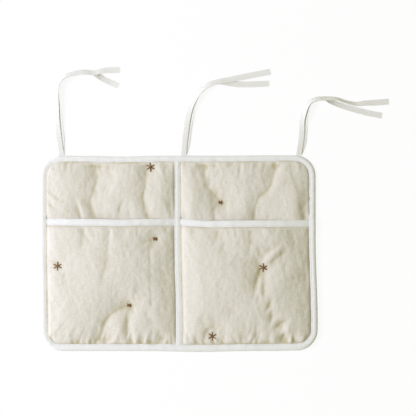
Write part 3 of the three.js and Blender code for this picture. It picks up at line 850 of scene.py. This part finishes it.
def crinkle(x, y, seed):
    # washed cotton: soft creases where a turned noise changes sign, and fine crimps
    x, y = wander(x, y, crinkleShape["wander"], crinkleShape["wanderCell"], seed)
    creases = 0
    for k, (height, stretch, cell, cosine, sine) in enumerate(crinkleShape["creases"]):
        turned = noise(cosine * x + sine * y, stretch * (cosine * y - sine * x), cell, seed + 2 + k)
        creases = creases + height * (crinkleShape["level"] - np.sqrt(turned**2 + crinkleShape["soft"]))
    return creases + waveSum(x, y, [crinkleShape["crimp"]], seed + 4)


def gathers(distance, along, seed):
    # pleats that a seam draws in: slanting waves of uneven spacing that die away from it
    slant = along + gatherShape["slant"] * distance * lineNoise(along, gatherShape["slantCell"], seed)
    waves = waveSum(slant, distance, gatherShape["waves"], seed + 1)
    return gatherShape["height"] * waves * np.exp(-np.maximum(distance, 0) / gatherShape["run"])


def notBelow(height, floor, ease=1.0):
    # the larger of the two, with a soft turn: floor plus ease times the log of 1 and e to the difference
    return floor + ease * np.logaddexp(0, (height - floor) / ease)


# painted shade in creases and hollows: how strongly curvature and depth turn the cloth olive
paintedCreaseShadeShape = {"bend": 2.2, "spread": 60, "hollow": 5.5, "most": 0.7}


def paintedCreaseShadeOf(grid):
    # painted shade for the cloth's creases and hollows: hollow curvature, from second differences, and
    # depth below the cloth around, which is the height averaged with its four neighbours many times
    z = grid[..., 2]
    around = z
    for _ in range(paintedCreaseShadeShape["spread"]):
        rim = np.pad(around, 1, mode="edge")
        around = (rim[:-2, 1:-1] + rim[2:, 1:-1] + rim[1:-1, :-2] + rim[1:-1, 2:]) / 4
    hollow = np.maximum(around - z, 0) / paintedCreaseShadeShape["hollow"]
    bend = 0
    for axis, place in ((1, grid[..., 0]), (0, grid[..., 1])):
        step = np.gradient(place, axis=axis)
        bend = bend + np.gradient(np.gradient(z, axis=axis) / step, axis=axis) / step
    return np.clip(bend * paintedCreaseShadeShape["bend"] + hollow, 0, paintedCreaseShadeShape["most"])


def clothGrid(rows, leftX, rightX, columns):
    # rows from side to side between two edge lines
    across = np.linspace(0, 1, columns)[None, :]
    x = leftX[:, None] + (rightX - leftX)[:, None] * across
    return x, np.repeat(rows[:, None], columns, axis=1)


# Pockets: their edges, and the arch that the mouth gapes with

pocketShape = {
    "gape": 7, "archPower": 0.8, "lift": 1.0, "liftRun": 34, "liftBeside": 40,
    "puff": 7, "puffRun": 30, "fallRun": 80, "hemLeg": 12.5, "belowHem": 2, "mouthInset": 2.5,
    "columns": 110, "rows": 112, "thinnest": 0.8, "flattest": 0.6,
    "seamThick": 1.6, "innerThick": 2.8, "innerRun": 8, "hemThickFrom": (-1, 8),
    "reliefRun": 10, "hemRun": 7, "softRun": 6,
    "pulls": (3.2, 0.25), "tapePull": 0.12,  # the foot gathers most
    "seeds": {"folds": 0, "lumps": 4, "edge": 10, "tape": 14, "hem": 17, "crinkle": 20},
}
hemFlat = mouthY - pocketShape["hemLeg"] - pocketShape["belowHem"]
pocketFoot = boxOf("left_pocket_face")[0][1]
pockets = {
    side: {"body": f"{side}_pocket", "ends": boxOf(f"{side}_pocket_hem")[:, 0], "folds": folds, "seed": seed}
    for side, folds, seed in (("left", leftFolds, 40), ("right", rightFolds, 70))
}


def pocketEdges(side, y):
    # left and right edges of a pocket's cloth, tucked under the binding and under the centre tape
    tuck = panelShape["tuck"]
    if side == "left":
        return -edgeX(y, bindingLegs["left"] - tuck), tapeMiddle(y) - tapeHalf(y) + tuck
    return tapeMiddle(y) + tapeHalf(y) - tuck, edgeX(y, bindingLegs["right"] - tuck)


def archAcross(side, x):
    # 0 at a pocket's sewn sides and 1 in its middle: 4 t less 4 t squared
    x0, x1 = pockets[side]["ends"]
    across = np.clip((x - x0) / (x1 - x0), 0, 1)
    return 4 * across * (1 - across)


def fromSides(side, x):
    x0, x1 = pockets[side]["ends"]
    return np.minimum(x - x0, x1 - x)


def liningHeight(side, x, y):
    # height of the pocket's inside: an arch from side to side that grows from the foot to the mouth
    along = np.clip((y - pocketFoot) / (hemFlat - pocketFoot), 0, 1)
    arch = archAcross(side, x) * np.sin(along * math.pi / 2) ** pocketShape["archPower"]
    beside = smooth(0, pocketShape["liftBeside"], fromSides(side, x))
    lift = pocketShape["lift"] * smooth(hemFlat - pocketShape["liftRun"], hemFlat, y) * beside
    return panelShape["onPanel"] + lift + pocketShape["gape"] * arch


def gapeWith(piece):
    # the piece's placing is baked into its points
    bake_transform(piece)


# Cloth simulation: the quilted face swells and wrinkles between the seams and tufts that hold it

simulation = {
    "frames": 20, "holdLevels": 20, "cap": 3,
    "settings": {
        "quality": 5, "mass": 0.2, "tension_stiffness": 12, "compression_stiffness": 12, "shear_stiffness": 4,
        "bending_stiffness": 1.5, "air_damping": 2, "shrink_min": -0.001, "vertex_group_mass": "hold",
        "use_pressure": True, "uniform_pressure_force": 1.4,
    },
}


def drape(top, hold):
    # a copy of the face, pinned by its hold weights, puffed and given spare cloth; moves are capped
    rows, columns = top.shape[:2]
    cloth = addMesh("drape", top.reshape(-1, 3), gridFaces(rows, columns))
    group = cloth.vertex_groups.new(name="hold")
    levels = np.round(np.clip(hold, 0, 1).ravel() * simulation["holdLevels"]).astype(int)
    for level in np.unique(levels[levels > 0]):
        weight = float(level) / simulation["holdLevels"]
        group.add(np.flatnonzero(levels == level).tolist(), weight, "REPLACE")
    modifier = cloth.modifiers.new("cloth", "CLOTH")
    for setting, value in simulation["settings"].items():
        setattr(modifier.settings, setting, value)
    modifier.settings.effector_weights.gravity = 0
    modifier.collision_settings.use_collision = False
    modifier.point_cache.frame_end = simulation["frames"]
    scene = bpy.context.scene
    for step in range(1, simulation["frames"] + 1):
        scene.frame_set(step)
    solved = cloth.evaluated_get(bpy.context.evaluated_depsgraph_get()).data
    moved = np.empty(rows * columns * 3, np.float32)
    solved.vertices.foreach_get("co", moved)
    scene.frame_set(1)
    bpy.data.objects.remove(cloth)
    change = moved.reshape(top.shape) / mm - top
    reach = np.linalg.norm(change, axis=2, keepdims=True)
    print(f"cloth moved {reach.mean():.2f} mm on average and {reach.max():.2f} at most")
    return top + change * simulation["cap"] * np.tanh(reach / simulation["cap"]) / np.maximum(reach, tiny)


# Quilts: wadding under cotton, drawn in by the seams, the tufts and the folds

quiltShape = {"fallFrom": (40, 240), "heldRun": (1, 6), "freeRun": (0, 9), "gatherRun": 6, "ease": 0.4}


def gathered(x, y, edgeGap, endGap, pulls, seed):
    # gathers along the binding: counted by x where an end of the panel is nearest and by y at a side
    atEnd = endGap < panelHalf[0] - np.abs(x)
    waves = gathers(edgeGap, np.where(atEnd, x, y), seed)
    return np.where(atEnd, *pulls) * waves * swell(edgeGap, quiltShape["gatherRun"])


def tapeGathered(y, tapeGap, pull, seed):
    return pull * gathers(tapeGap, y, seed) * swell(tapeGap, quiltShape["gatherRun"])


def settleQuilt(top, hold, free, places, names, relief, least):
    # the cloth settles between its seams and tufts; then come the fine creases, more of the folds, which
    # are shallower beside a tuft, and the gathers
    creases, folds, waves = relief
    stitched = tuftHold(*places, names, tuftShape["rim"])
    top = drape(top, np.maximum(hold, stitched))
    drawnIn = 1 - foldShare["lostAtTuft"] * tuftHold(*places, names, tuftShape["wideRim"])
    top[..., 2] += free * (1 - stitched) * (creases + foldShare["after"] * (drawnIn * folds + waves))
    top[..., 2] = notBelow(top[..., 2], least, quiltShape["ease"])
    return top


def makeQuilt(name, top, bottom):
    points, faces = slab(top, bottom)
    piece = makePiece(name, points, faces, cotton)
    # painted shade: olive for the creases and hollows of the top, none on the bottom and walls
    paintedCreaseShade = paintedCreaseShadeOf(top).ravel()
    setPaintedCreaseShade(piece, np.concatenate([paintedCreaseShade, np.zeros(len(points) - len(paintedCreaseShade))]))
    print(f"{name} ready")
    return piece, points


def makeFrontQuilt():
    tuck, seeds = panelShape["tuck"], panelShape["seeds"]
    highY = panelHalf[1] - bindingLegs["top"] + tuck
    change = mouthY + panelShape["rowsPastMouth"]
    rows = np.concatenate([np.linspace(clothFoot, change, panelShape["rowsBehind"], endpoint=False),
                           np.linspace(change, highY, panelShape["rowsAbove"])])
    leftX, rightX = -edgeX(rows, bindingLegs["left"] - tuck), edgeX(rows, bindingLegs["right"] - tuck)
    x, y = clothGrid(rows, leftX, rightX, panelShape["columns"])
    edgeGap, tapeGap = seamGaps(x, y)
    names, places = tuftsOn("panel"), settledPlace(x, y)
    fall = mix(panelShape["crownRun"], panelShape["fallRun"], smooth(*quiltShape["fallFrom"], x))
    held = swell(edgeGap, fall) * swell(tapeGap, panelShape["crownRun"])
    full = mix(panelShape["crownBehind"], panelShape["crown"], pastMouth(panelShape["crownPastMouth"], y))
    above = pastMouth(panelShape["reliefPastMouth"], y)
    folds = foldHeights(*places, panelFolds, seeds["folds"])
    relief = foldShare["before"] * folds + lumps(x, y, seeds["lumps"]) + tuftRelief(*places, names)
    run = panelShape["reliefRun"]
    height = full * held * tuftShare(*places, names, tuftShape["pullRun"])
    height += above * swell(edgeGap, run) * swell(tapeGap, run) * relief
    waves = gathered(x, y, edgeGap, panelHalf[1] - y, panelShape["pulls"], seeds["edge"])
    height += above * (waves + tapeGathered(y, tapeGap, panelShape["tapePull"], seeds["tape"]))
    z = panelShape["seamTop"] + notBelow(height, panelShape["dip"])
    for side in pockets:
        under = (fromSides(side, x) > -panelShape["besidePocket"]) & (y < mouthY)
        z = np.where(under, np.minimum(z, liningHeight(side, x, y) - panelShape["underPocket"]), z)
    top = settle(np.stack([x, y, z], axis=2))
    heldGap = np.minimum(edgeGap, tapeGap - panelShape["tapeHold"])
    hold = 1 - np.minimum(smooth(*quiltShape["heldRun"], heldGap), pastMouth(panelShape["freePastMouth"], y))
    free = above * smooth(*quiltShape["freeRun"], np.minimum(edgeGap, tapeGap))
    relief = crinkle(x, y, seeds["crinkle"]), folds, waves
    top = settleQuilt(top, hold, free, places, names, relief, panelShape["seamTop"] + panelShape["least"])
    bottom = top.copy()
    inside = smooth(0, panelShape["backRun"], edgeGap)
    bottom[..., 2] = mix(panelShape["backAtEdge"], panelShape["back"], inside)
    piece, _ = makeQuilt("frontQuilt", top, bottom)
    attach(piece, "panel")
    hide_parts("front_cloth", "panel_wadding")
    return top


backShape = {
    "columns": 120, "rows": 90, "inset": 6, "thickness": 0.6, "edge": 1.1, "edgeFrom": (8, 28), "hollow": 1.2,
    "uneven": 0.25, "unevenCell": 17, "unevenFrom": (2, 20), "seed": 31,
}


def makeBackSheet():
    # plain cotton back: flat on the ground, turned up into the binding and drawn in under each tuft
    inset = backShape["inset"]
    rows = np.linspace(-panelHalf[1] + inset, panelHalf[1] - inset, backShape["rows"])
    x, y = clothGrid(rows, -edgeX(rows, inset), edgeX(rows, inset), backShape["columns"])
    edgeGap = insideEdge(x, y)
    z = backShape["edge"] * (1 - smooth(*backShape["edgeFrom"], edgeGap))
    z += backShape["hollow"] * (1 - tuftShare(x, y, tuftNames, tuftShape["backRun"]))
    uneven = backShape["uneven"] * (1 + noise(x, y, backShape["unevenCell"], backShape["seed"]))
    z += uneven * smooth(*backShape["unevenFrom"], edgeGap)
    low = settle(np.stack([x, y, z], axis=2))
    points, faces = slab(low + (0, 0, backShape["thickness"]), low)
    piece = makePiece("backCloth", points, faces, cotton)
    setPaintedCreaseShade(piece, np.zeros(len(points)))
    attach(piece, "panel")
    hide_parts("back_cloth")


def makePocket(side):
    pocket = pockets[side]
    seeds = {use: pocket["seed"] + step for use, step in pocketShape["seeds"].items()}
    rows = np.linspace(clothFoot, mouthY - pocketShape["mouthInset"], pocketShape["rows"])
    x, y = clothGrid(rows, *pocketEdges(side, rows), pocketShape["columns"])
    edgeGap, tapeGap = seamGaps(x, y)
    sideGap, hemGap = np.minimum(edgeGap, tapeGap), hemFlat + pocketShape["belowHem"] - y
    names, places = tuftsOn(side), settledPlace(x, y)
    run, fall = pocketShape["puffRun"], pocketShape["fallRun"]
    held = swell(edgeGap, mix(run, fall, smooth(*quiltShape["fallFrom"], x)))
    held = held * swell(tapeGap, np.where(x < 0, fall, run))
    lining = liningHeight(side, x, y)
    # thin under every tape
    inside = smooth(0, pocketShape["innerRun"], sideGap) * smooth(*pocketShape["hemThickFrom"], hemGap)
    thick = mix(pocketShape["seamThick"], pocketShape["innerThick"], inside)
    puff = pocketShape["puff"] * held * swell(hemGap, run) * tuftShare(*places, names, tuftShape["pullRun"])
    belowHem = smooth(0, pocketShape["hemRun"], hemGap)
    free = swell(edgeGap, pocketShape["reliefRun"]) * swell(tapeGap, pocketShape["reliefRun"]) * belowHem
    folds = foldHeights(*places, pocket["folds"], seeds["folds"])
    relief = foldShare["before"] * folds + lumps(x, y, seeds["lumps"]) + tuftRelief(*places, names)
    waves = gathered(x, y, edgeGap, y - clothFoot, pocketShape["pulls"], seeds["edge"])
    waves = waves + gathers(hemGap, x, seeds["hem"])
    waves += tapeGathered(y, tapeGap, pocketShape["tapePull"], seeds["tape"])
    height = thick + puff + free * relief + waves * belowHem
    eased = notBelow(height, thick * pocketShape["thinnest"])
    z = lining + mix(height, eased, smooth(0, pocketShape["softRun"], sideGap))
    top = settle(np.stack([x, y, z], axis=2))
    seamGap = np.minimum(sideGap, hemGap)
    hold, free = 1 - smooth(*quiltShape["heldRun"], seamGap), smooth(*quiltShape["freeRun"], seamGap)
    relief = crinkle(x, y, seeds["crinkle"]), folds, waves
    top = settleQuilt(top, hold, free, places, names, relief, lining + pocketShape["flattest"] * thick)
    piece, points = makeQuilt(f"{side}PocketQuilt", top, settle(np.stack([x, y, lining], axis=2)))
    gapeWith(piece)
    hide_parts(f"{side}_pocket_face", f"{side}_pocket_wadding", f"{side}_pocket_lining")
    return top


tops = {"panel": makeFrontQuilt()}
makeBackSheet()
for side in pockets:
    tops[side] = makePocket(side)
print("quilts ready")


# Tapes: the binding round the edge, the two hems and the strip down the middle

seamPoint, otherSeamPoint = 2, 6  # points of a section in the grooves where rows of stitches lie


def foldedSection(leg, low, high, lipLeg):
    # a tape folded over an edge: n inwards from the nose, z up; the front leg swells between the nose
    # and its row of stitches, and the back leg lies flat. leg, low and high are one number per station
    middle = (low + high) / 2
    outer = [
        (leg, high - 0.6), (leg - 0.7, high - 0.1), (leg - 2.0, high - 0.45), (leg - 3.4, high + 0.05),
        (leg * 0.5, high + 0.4), (leg * 0.25, high + 0.1), (1.0, high - 0.8), (0, middle),
        (1.0, low + 0.8), (2.6, low + 0.1), (lipLeg * 0.6, low), (lipLeg - 0.6, low), (lipLeg, low + 0.4),
    ]
    inner = [(lipLeg, low + 0.8), (3.4, low + 0.9), (2.2, middle), (3.4, high - 0.9), (leg, high - 1.2)]
    return [np.stack(np.broadcast_arrays(n, z), axis=1) for n, z in outer + inner]


def makeTape(name, sections, closed=False):
    # sections are one array of points for each place round the tape; the tape is laid as the cloth is
    sections = settle(np.stack(sections, axis=1))
    points, faces = tube(sections, closed)
    piece = makePiece(name, points, faces, twill)
    along, across = np.meshgrid(runAlong(sections.mean(axis=1)), runAlong(sections[0]), indexing="ij")
    setTape(piece, along, across)
    return piece, points, sections


bindingShape = {
    "spacing": 4, "arcSteps": 16, "backLeg": 12, "overPanel": 5.0, "overPocket": 7.1,
    "pocketPastMouth": (-4, 6), "overHem": 8.3, "hemAt": -6, "hemRun": 7, "hemBeside": 20,
    "wander": 0.8, "wanderCell": 23, "pucker": 0.3, "puckerCell": 8, "seed": 70,
}


def outlineStations():
    # counter-clockwise from the right side: an arc at each corner, then the straight to the next
    points, outward = [], []
    radius = panelShape["corner"]
    signs = [(1, 1), (-1, 1), (-1, -1), (1, -1)]
    for quarter, sign in enumerate(signs):
        angle = (quarter + np.linspace(0, 1, bindingShape["arcSteps"] + 1)) * math.pi / 2
        direction = np.stack([np.cos(angle), np.sin(angle)], axis=1)
        arc = sign * (panelHalf - radius) + radius * direction
        following = signs[(quarter + 1) % 4] * (panelHalf - radius) + radius * direction[-1]
        count = int(np.linalg.norm(following - arc[-1]) / bindingShape["spacing"])
        share = np.linspace(0, 1, count, endpoint=False)[1:, None]
        straight = arc[-1] + (following - arc[-1]) * share
        points += [arc, straight]
        outward += [direction, np.repeat(direction[-1:], len(straight), axis=0)]
    return np.vstack(points), np.vstack(outward)


def makeBinding():
    base, outward = outlineStations()
    x, y = base[:, 0], base[:, 1]
    around, seed = np.arctan2(y, x) * panelHalf[0], bindingShape["seed"]
    leg = legAt(x, y) + bindingShape["wander"] * lineNoise(around, bindingShape["wanderCell"], seed)
    besidePocket = 1 - pastMouth(bindingShape["pocketPastMouth"], y)
    high = mix(bindingShape["overPanel"], bindingShape["overPocket"], besidePocket)
    onHem = bell(y - mouthY, bindingShape["hemAt"], bindingShape["hemRun"])
    onHem = onHem * (np.abs(x) > panelHalf[0] - bindingShape["hemBeside"])
    high = mix(high, bindingShape["overHem"], onHem)
    high += bindingShape["pucker"] * lineNoise(around, bindingShape["puckerCell"], seed + 1)
    section = foldedSection(leg, 0 * high, high, bindingShape["backLeg"])
    rings = [np.concatenate([base - outward * part[:, :1], part[:, 1:]], axis=1) for part in section]
    piece, _, sections = makeTape("edgeBinding", rings, closed=True)
    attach(piece, "panel")
    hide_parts("edge_binding")
    return sections[:, seamPoint]


def tapeNoise(y, use, seed):
    # a noise along the centre tape, by its size and cell
    size, cell = centreTape[use]
    return size * lineNoise(y, cell, seed)


def makeCentreTape():
    # a flat strip with a shallow groove along each row of stitches, lifted over the pockets' edges
    tuck, seed = centreTape["endTuck"], centreTape["seed"]
    low, high = -panelHalf[1] + bindingLegs["bottom"] - tuck, panelHalf[1] - bindingLegs["top"] + tuck
    y = np.arange(low, high, centreTape["spacing"])
    half = tapeHalf(y) + tapeNoise(y, "widthNoise", seed)
    middle = tapeMiddle(y) + tapeNoise(y, "middleNoise", seed + 1)
    beside = 1 - pastMouth(centreTape["pocketPastMouth"], y)
    level = panelShape["onPanel"] + pocketShape["seamThick"] * beside + centreTape["raise"]
    onHem = bell(y - mouthY, centreTape["hemAt"], centreTape["hemRun"])
    level += centreTape["overHem"] * onHem + tapeNoise(y, "levelNoise", seed + 2)
    thick, tilt = centreTape["thickness"], centreTape["tilt"]
    # shares of the half width and of the thickness
    shape = [(-1, 0.25), (-0.9, 0.95), (-0.72, 0.6), (-0.5, 1.1), (0, 1.3), (0.5, 1.1), (0.72, 0.6),
             (0.9, 0.95), (1, 0.25), (0.9, -0.6), (0.3, -0.6), (-0.3, -0.6), (-0.6, -0.6), (-0.9, -0.6)]
    rings = [np.stack([middle + across * half, y, level + up * thick - tilt * across * half], axis=1)
             for across, up in shape]
    piece, _, sections = makeTape("centreTape", rings)
    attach(piece, "panel")
    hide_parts("centre_tape")
    return sections[:, seamPoint], sections[:, otherSeamPoint]


hemShape = {
    "spacing": 3, "endsAt": -6, "pressed": 3.2, "height": 4.5, "pressRun": 36, "sink": 1.1,
    "wander": 0.5, "wanderCell": 24, "pucker": 0.3, "puckerCell": 8, "seed": 8,
}


def makeHem(side):
    # the mouth's tape follows the arch of the pocket and is pressed thin where its ends are sewn in
    leftX, rightX = pocketEdges(side, np.array([mouthY + hemShape["endsAt"]]))
    x = np.arange(leftX[0], rightX[0], hemShape["spacing"])
    full = smooth(0, hemShape["pressRun"], fromSides(side, x))
    seed = pockets[side]["seed"] + hemShape["seed"]
    level = liningHeight(side, x, np.full_like(x, hemFlat)) - hemShape["sink"] * full
    high = level + mix(hemShape["pressed"], hemShape["height"], full)
    high += hemShape["pucker"] * lineNoise(x, hemShape["puckerCell"], seed)
    leg = pocketShape["hemLeg"] + hemShape["wander"] * lineNoise(x, hemShape["wanderCell"], seed + 1)
    section = foldedSection(leg, level, high, pocketShape["hemLeg"])
    rings = [np.stack([x, mouthY - part[:, 0], part[:, 1]], axis=1) for part in section]
    piece, points, sections = makeTape(f"{side}PocketHem", rings)
    gapeWith(piece)
    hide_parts(f"{side}_pocket_hem")
    return sections[:, seamPoint]


seamLines = {"binding": makeBinding()}
seamLines["tapeLeft"], seamLines["tapeRight"] = makeCentreTape()
for side in pockets:
    seamLines[side] = makeHem(side)
print("tapes ready")


# Seam stitching: short thread capsules laid end to end in the tapes' grooves

stitchShape = {
    "length": 3.0, "pitch": 4.2, "radius": 0.3, "lift": 0.12, "bow": 0.9, "taper": 3.4295,
    "rings": 5, "around": 6, "ahead": 1.0,  # how far on a line its heading is read
}


def stitchTemplate():
    # a straight stitch along x: rings of points, thin at both ends and bowed up in the middle; the girth
    # is the radius times the root of 1 less the taper times the square of the place along it
    along = np.linspace(-0.5, 0.5, stitchShape["rings"])[:, None]
    girth = stitchShape["radius"] * np.sqrt(1 - stitchShape["taper"] * along**2)
    angle = np.arange(stitchShape["around"]) * 2 * math.pi / stitchShape["around"]
    up = girth * np.sin(angle) + stitchShape["lift"] - stitchShape["bow"] * along**2
    return np.stack(np.broadcast_arrays(along * stitchShape["length"], girth * np.cos(angle), up), axis=2)


def makeStitches(name, lines):
    corners, faces = tube(stitchTemplate(), False)
    pitch, copies = stitchShape["pitch"], []
    for line in lines:
        run = runAlong(line)
        place = np.arange(pitch, run[-1] - pitch, pitch)
        middle, ahead = (np.stack([np.interp(place + shift, run, line[:, k]) for k in range(3)], axis=1)
                         for shift in (0, stitchShape["ahead"]))
        heading = ahead - middle
        heading /= np.linalg.norm(heading, axis=1, keepdims=True)
        sideways = np.cross((0, 0, 1.0), heading)
        sideways /= np.linalg.norm(sideways, axis=1, keepdims=True)
        axes = np.stack([heading, sideways, np.cross(heading, sideways)], axis=1)
        copies.append(middle[:, None, :] + np.einsum("pk,nkj->npj", corners, axes))
    copies = np.concatenate(copies)
    points = copies.reshape(-1, 3)
    piece = makePiece(name, points, manyTimes(faces, len(corners), len(copies)), seamThread)
    print(f"{name}: {len(copies)} stitches")
    return piece, points


closedBinding = np.vstack([seamLines["binding"], seamLines["binding"][:1]])
panelLines = [closedBinding, seamLines["tapeLeft"], seamLines["tapeRight"]]
panelStitches, _ = makeStitches("panelStitches", panelLines)
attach(panelStitches, "panel")
for side in pockets:
    hemStitches, stitchPoints = makeStitches(f"{side}HemStitches", [seamLines[side]])
    gapeWith(hemStitches)


# Tuft stitches: stars and knots of three crossing bundles of floss

starShape = {
    "bundles": 3, "strands": 3, "spread": 0.6, "radius": 0.5, "stations": 15, "around": 6, "lift": 0.6,
    "stack": 0.4, "crossing": 3,  # a bundle rises over the one before it, over a third of its half length
    "starTurn": (math.pi / 2, math.pi / 3), "knotTurn": (-0.8, 0.8), "strayTurn": 0.09,
    "lengths": (0.99, 1.1), "belly": 1.15, "bow": 0.5, "stray": 0.25,
    "dive": 1.1, "divePower": 14, "taper": 0.35, "taperPower": 4, "seedStep": 7,
}


def heightOn(grid, x, y):
    # height of a cloth grid by rows and columns, straight between its points
    rows, columns = grid.shape[:2]
    row = np.clip(np.interp(y, grid[:, columns // 2, 1], np.arange(rows)), 0, rows - 1 - tiny)
    low = row.astype(int)
    up = row - low
    left, right = (mix(grid[low, end, 0], grid[low + 1, end, 0], up) for end in (0, -1))
    column = np.clip((x - left) / (right - left) * (columns - 1), 0, columns - 1 - tiny)
    near = column.astype(int)
    z = grid[..., 2]
    below, above = (mix(z[line, near], z[line, near + 1], column - near) for line in (low, low + 1))
    return mix(below, above, up)


def makeStar(node):
    surface, centre = surfaceOf(node), tuftCentre(node)
    reach = boxOf(node)[1][1] - centre[1]
    draw = np.random.default_rng(len(node) * starShape["seedStep"] + int(abs(centre[0])))
    along = np.linspace(-1, 1, starShape["stations"])
    turn = np.arange(starShape["around"]) * 2 * math.pi / starShape["around"]
    first, step = starShape["starTurn" if node.startswith("star") else "knotTurn"]
    girth = starShape["radius"] * (1 - starShape["taper"] * along ** starShape["taperPower"])
    parts, runs = [], []
    for bundle in range(starShape["bundles"]):
        angle = first + bundle * step + draw.uniform(-starShape["strayTurn"], starShape["strayTurn"])
        heading = np.array([math.cos(angle), math.sin(angle)])
        sideways = np.array([-heading[1], heading[0]])
        ring = np.cos(turn)[:, None] * np.array([*sideways, 0]) + np.sin(turn)[:, None] * (0, 0, 1.0)
        over = np.exp(-((along * starShape["crossing"]) ** 2))
        rise = starShape["lift"] + bundle * starShape["stack"] * over
        rise -= starShape["dive"] * along ** starShape["divePower"]
        for strand in range(starShape["strands"]):
            offset = (strand - (starShape["strands"] - 1) / 2) * starShape["spread"]
            length = reach * draw.uniform(*starShape["lengths"])
            bow = offset * (starShape["belly"] - starShape["bow"] * along**2)
            bow += starShape["stray"] * draw.uniform(-1, 1) * along
            x, y = (centre + along[:, None] * length * heading + bow[:, None] * sideways).T
            middle = np.stack([x, y, heightOn(tops[surface], x, y) + rise], axis=1)
            parts.append(middle[:, None, :] + girth[:, None, None] * ring)
            runs.append(np.repeat(along * length, len(turn)))
    corners, faces = tube(parts[0], False)
    points = np.concatenate(parts).reshape(-1, 3)
    piece = makePiece(node.replace("_", "."), points, manyTimes(faces, len(corners), len(parts)), floss)
    setTape(piece, np.concatenate(runs), np.tile(turn * starShape["radius"], len(parts) * len(along)))
    if surface == "panel":
        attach(piece, "panel")
    else:
        gapeWith(piece)
    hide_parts(node)


for node in tuftNames:
    makeStar(node)
print("tufts ready")
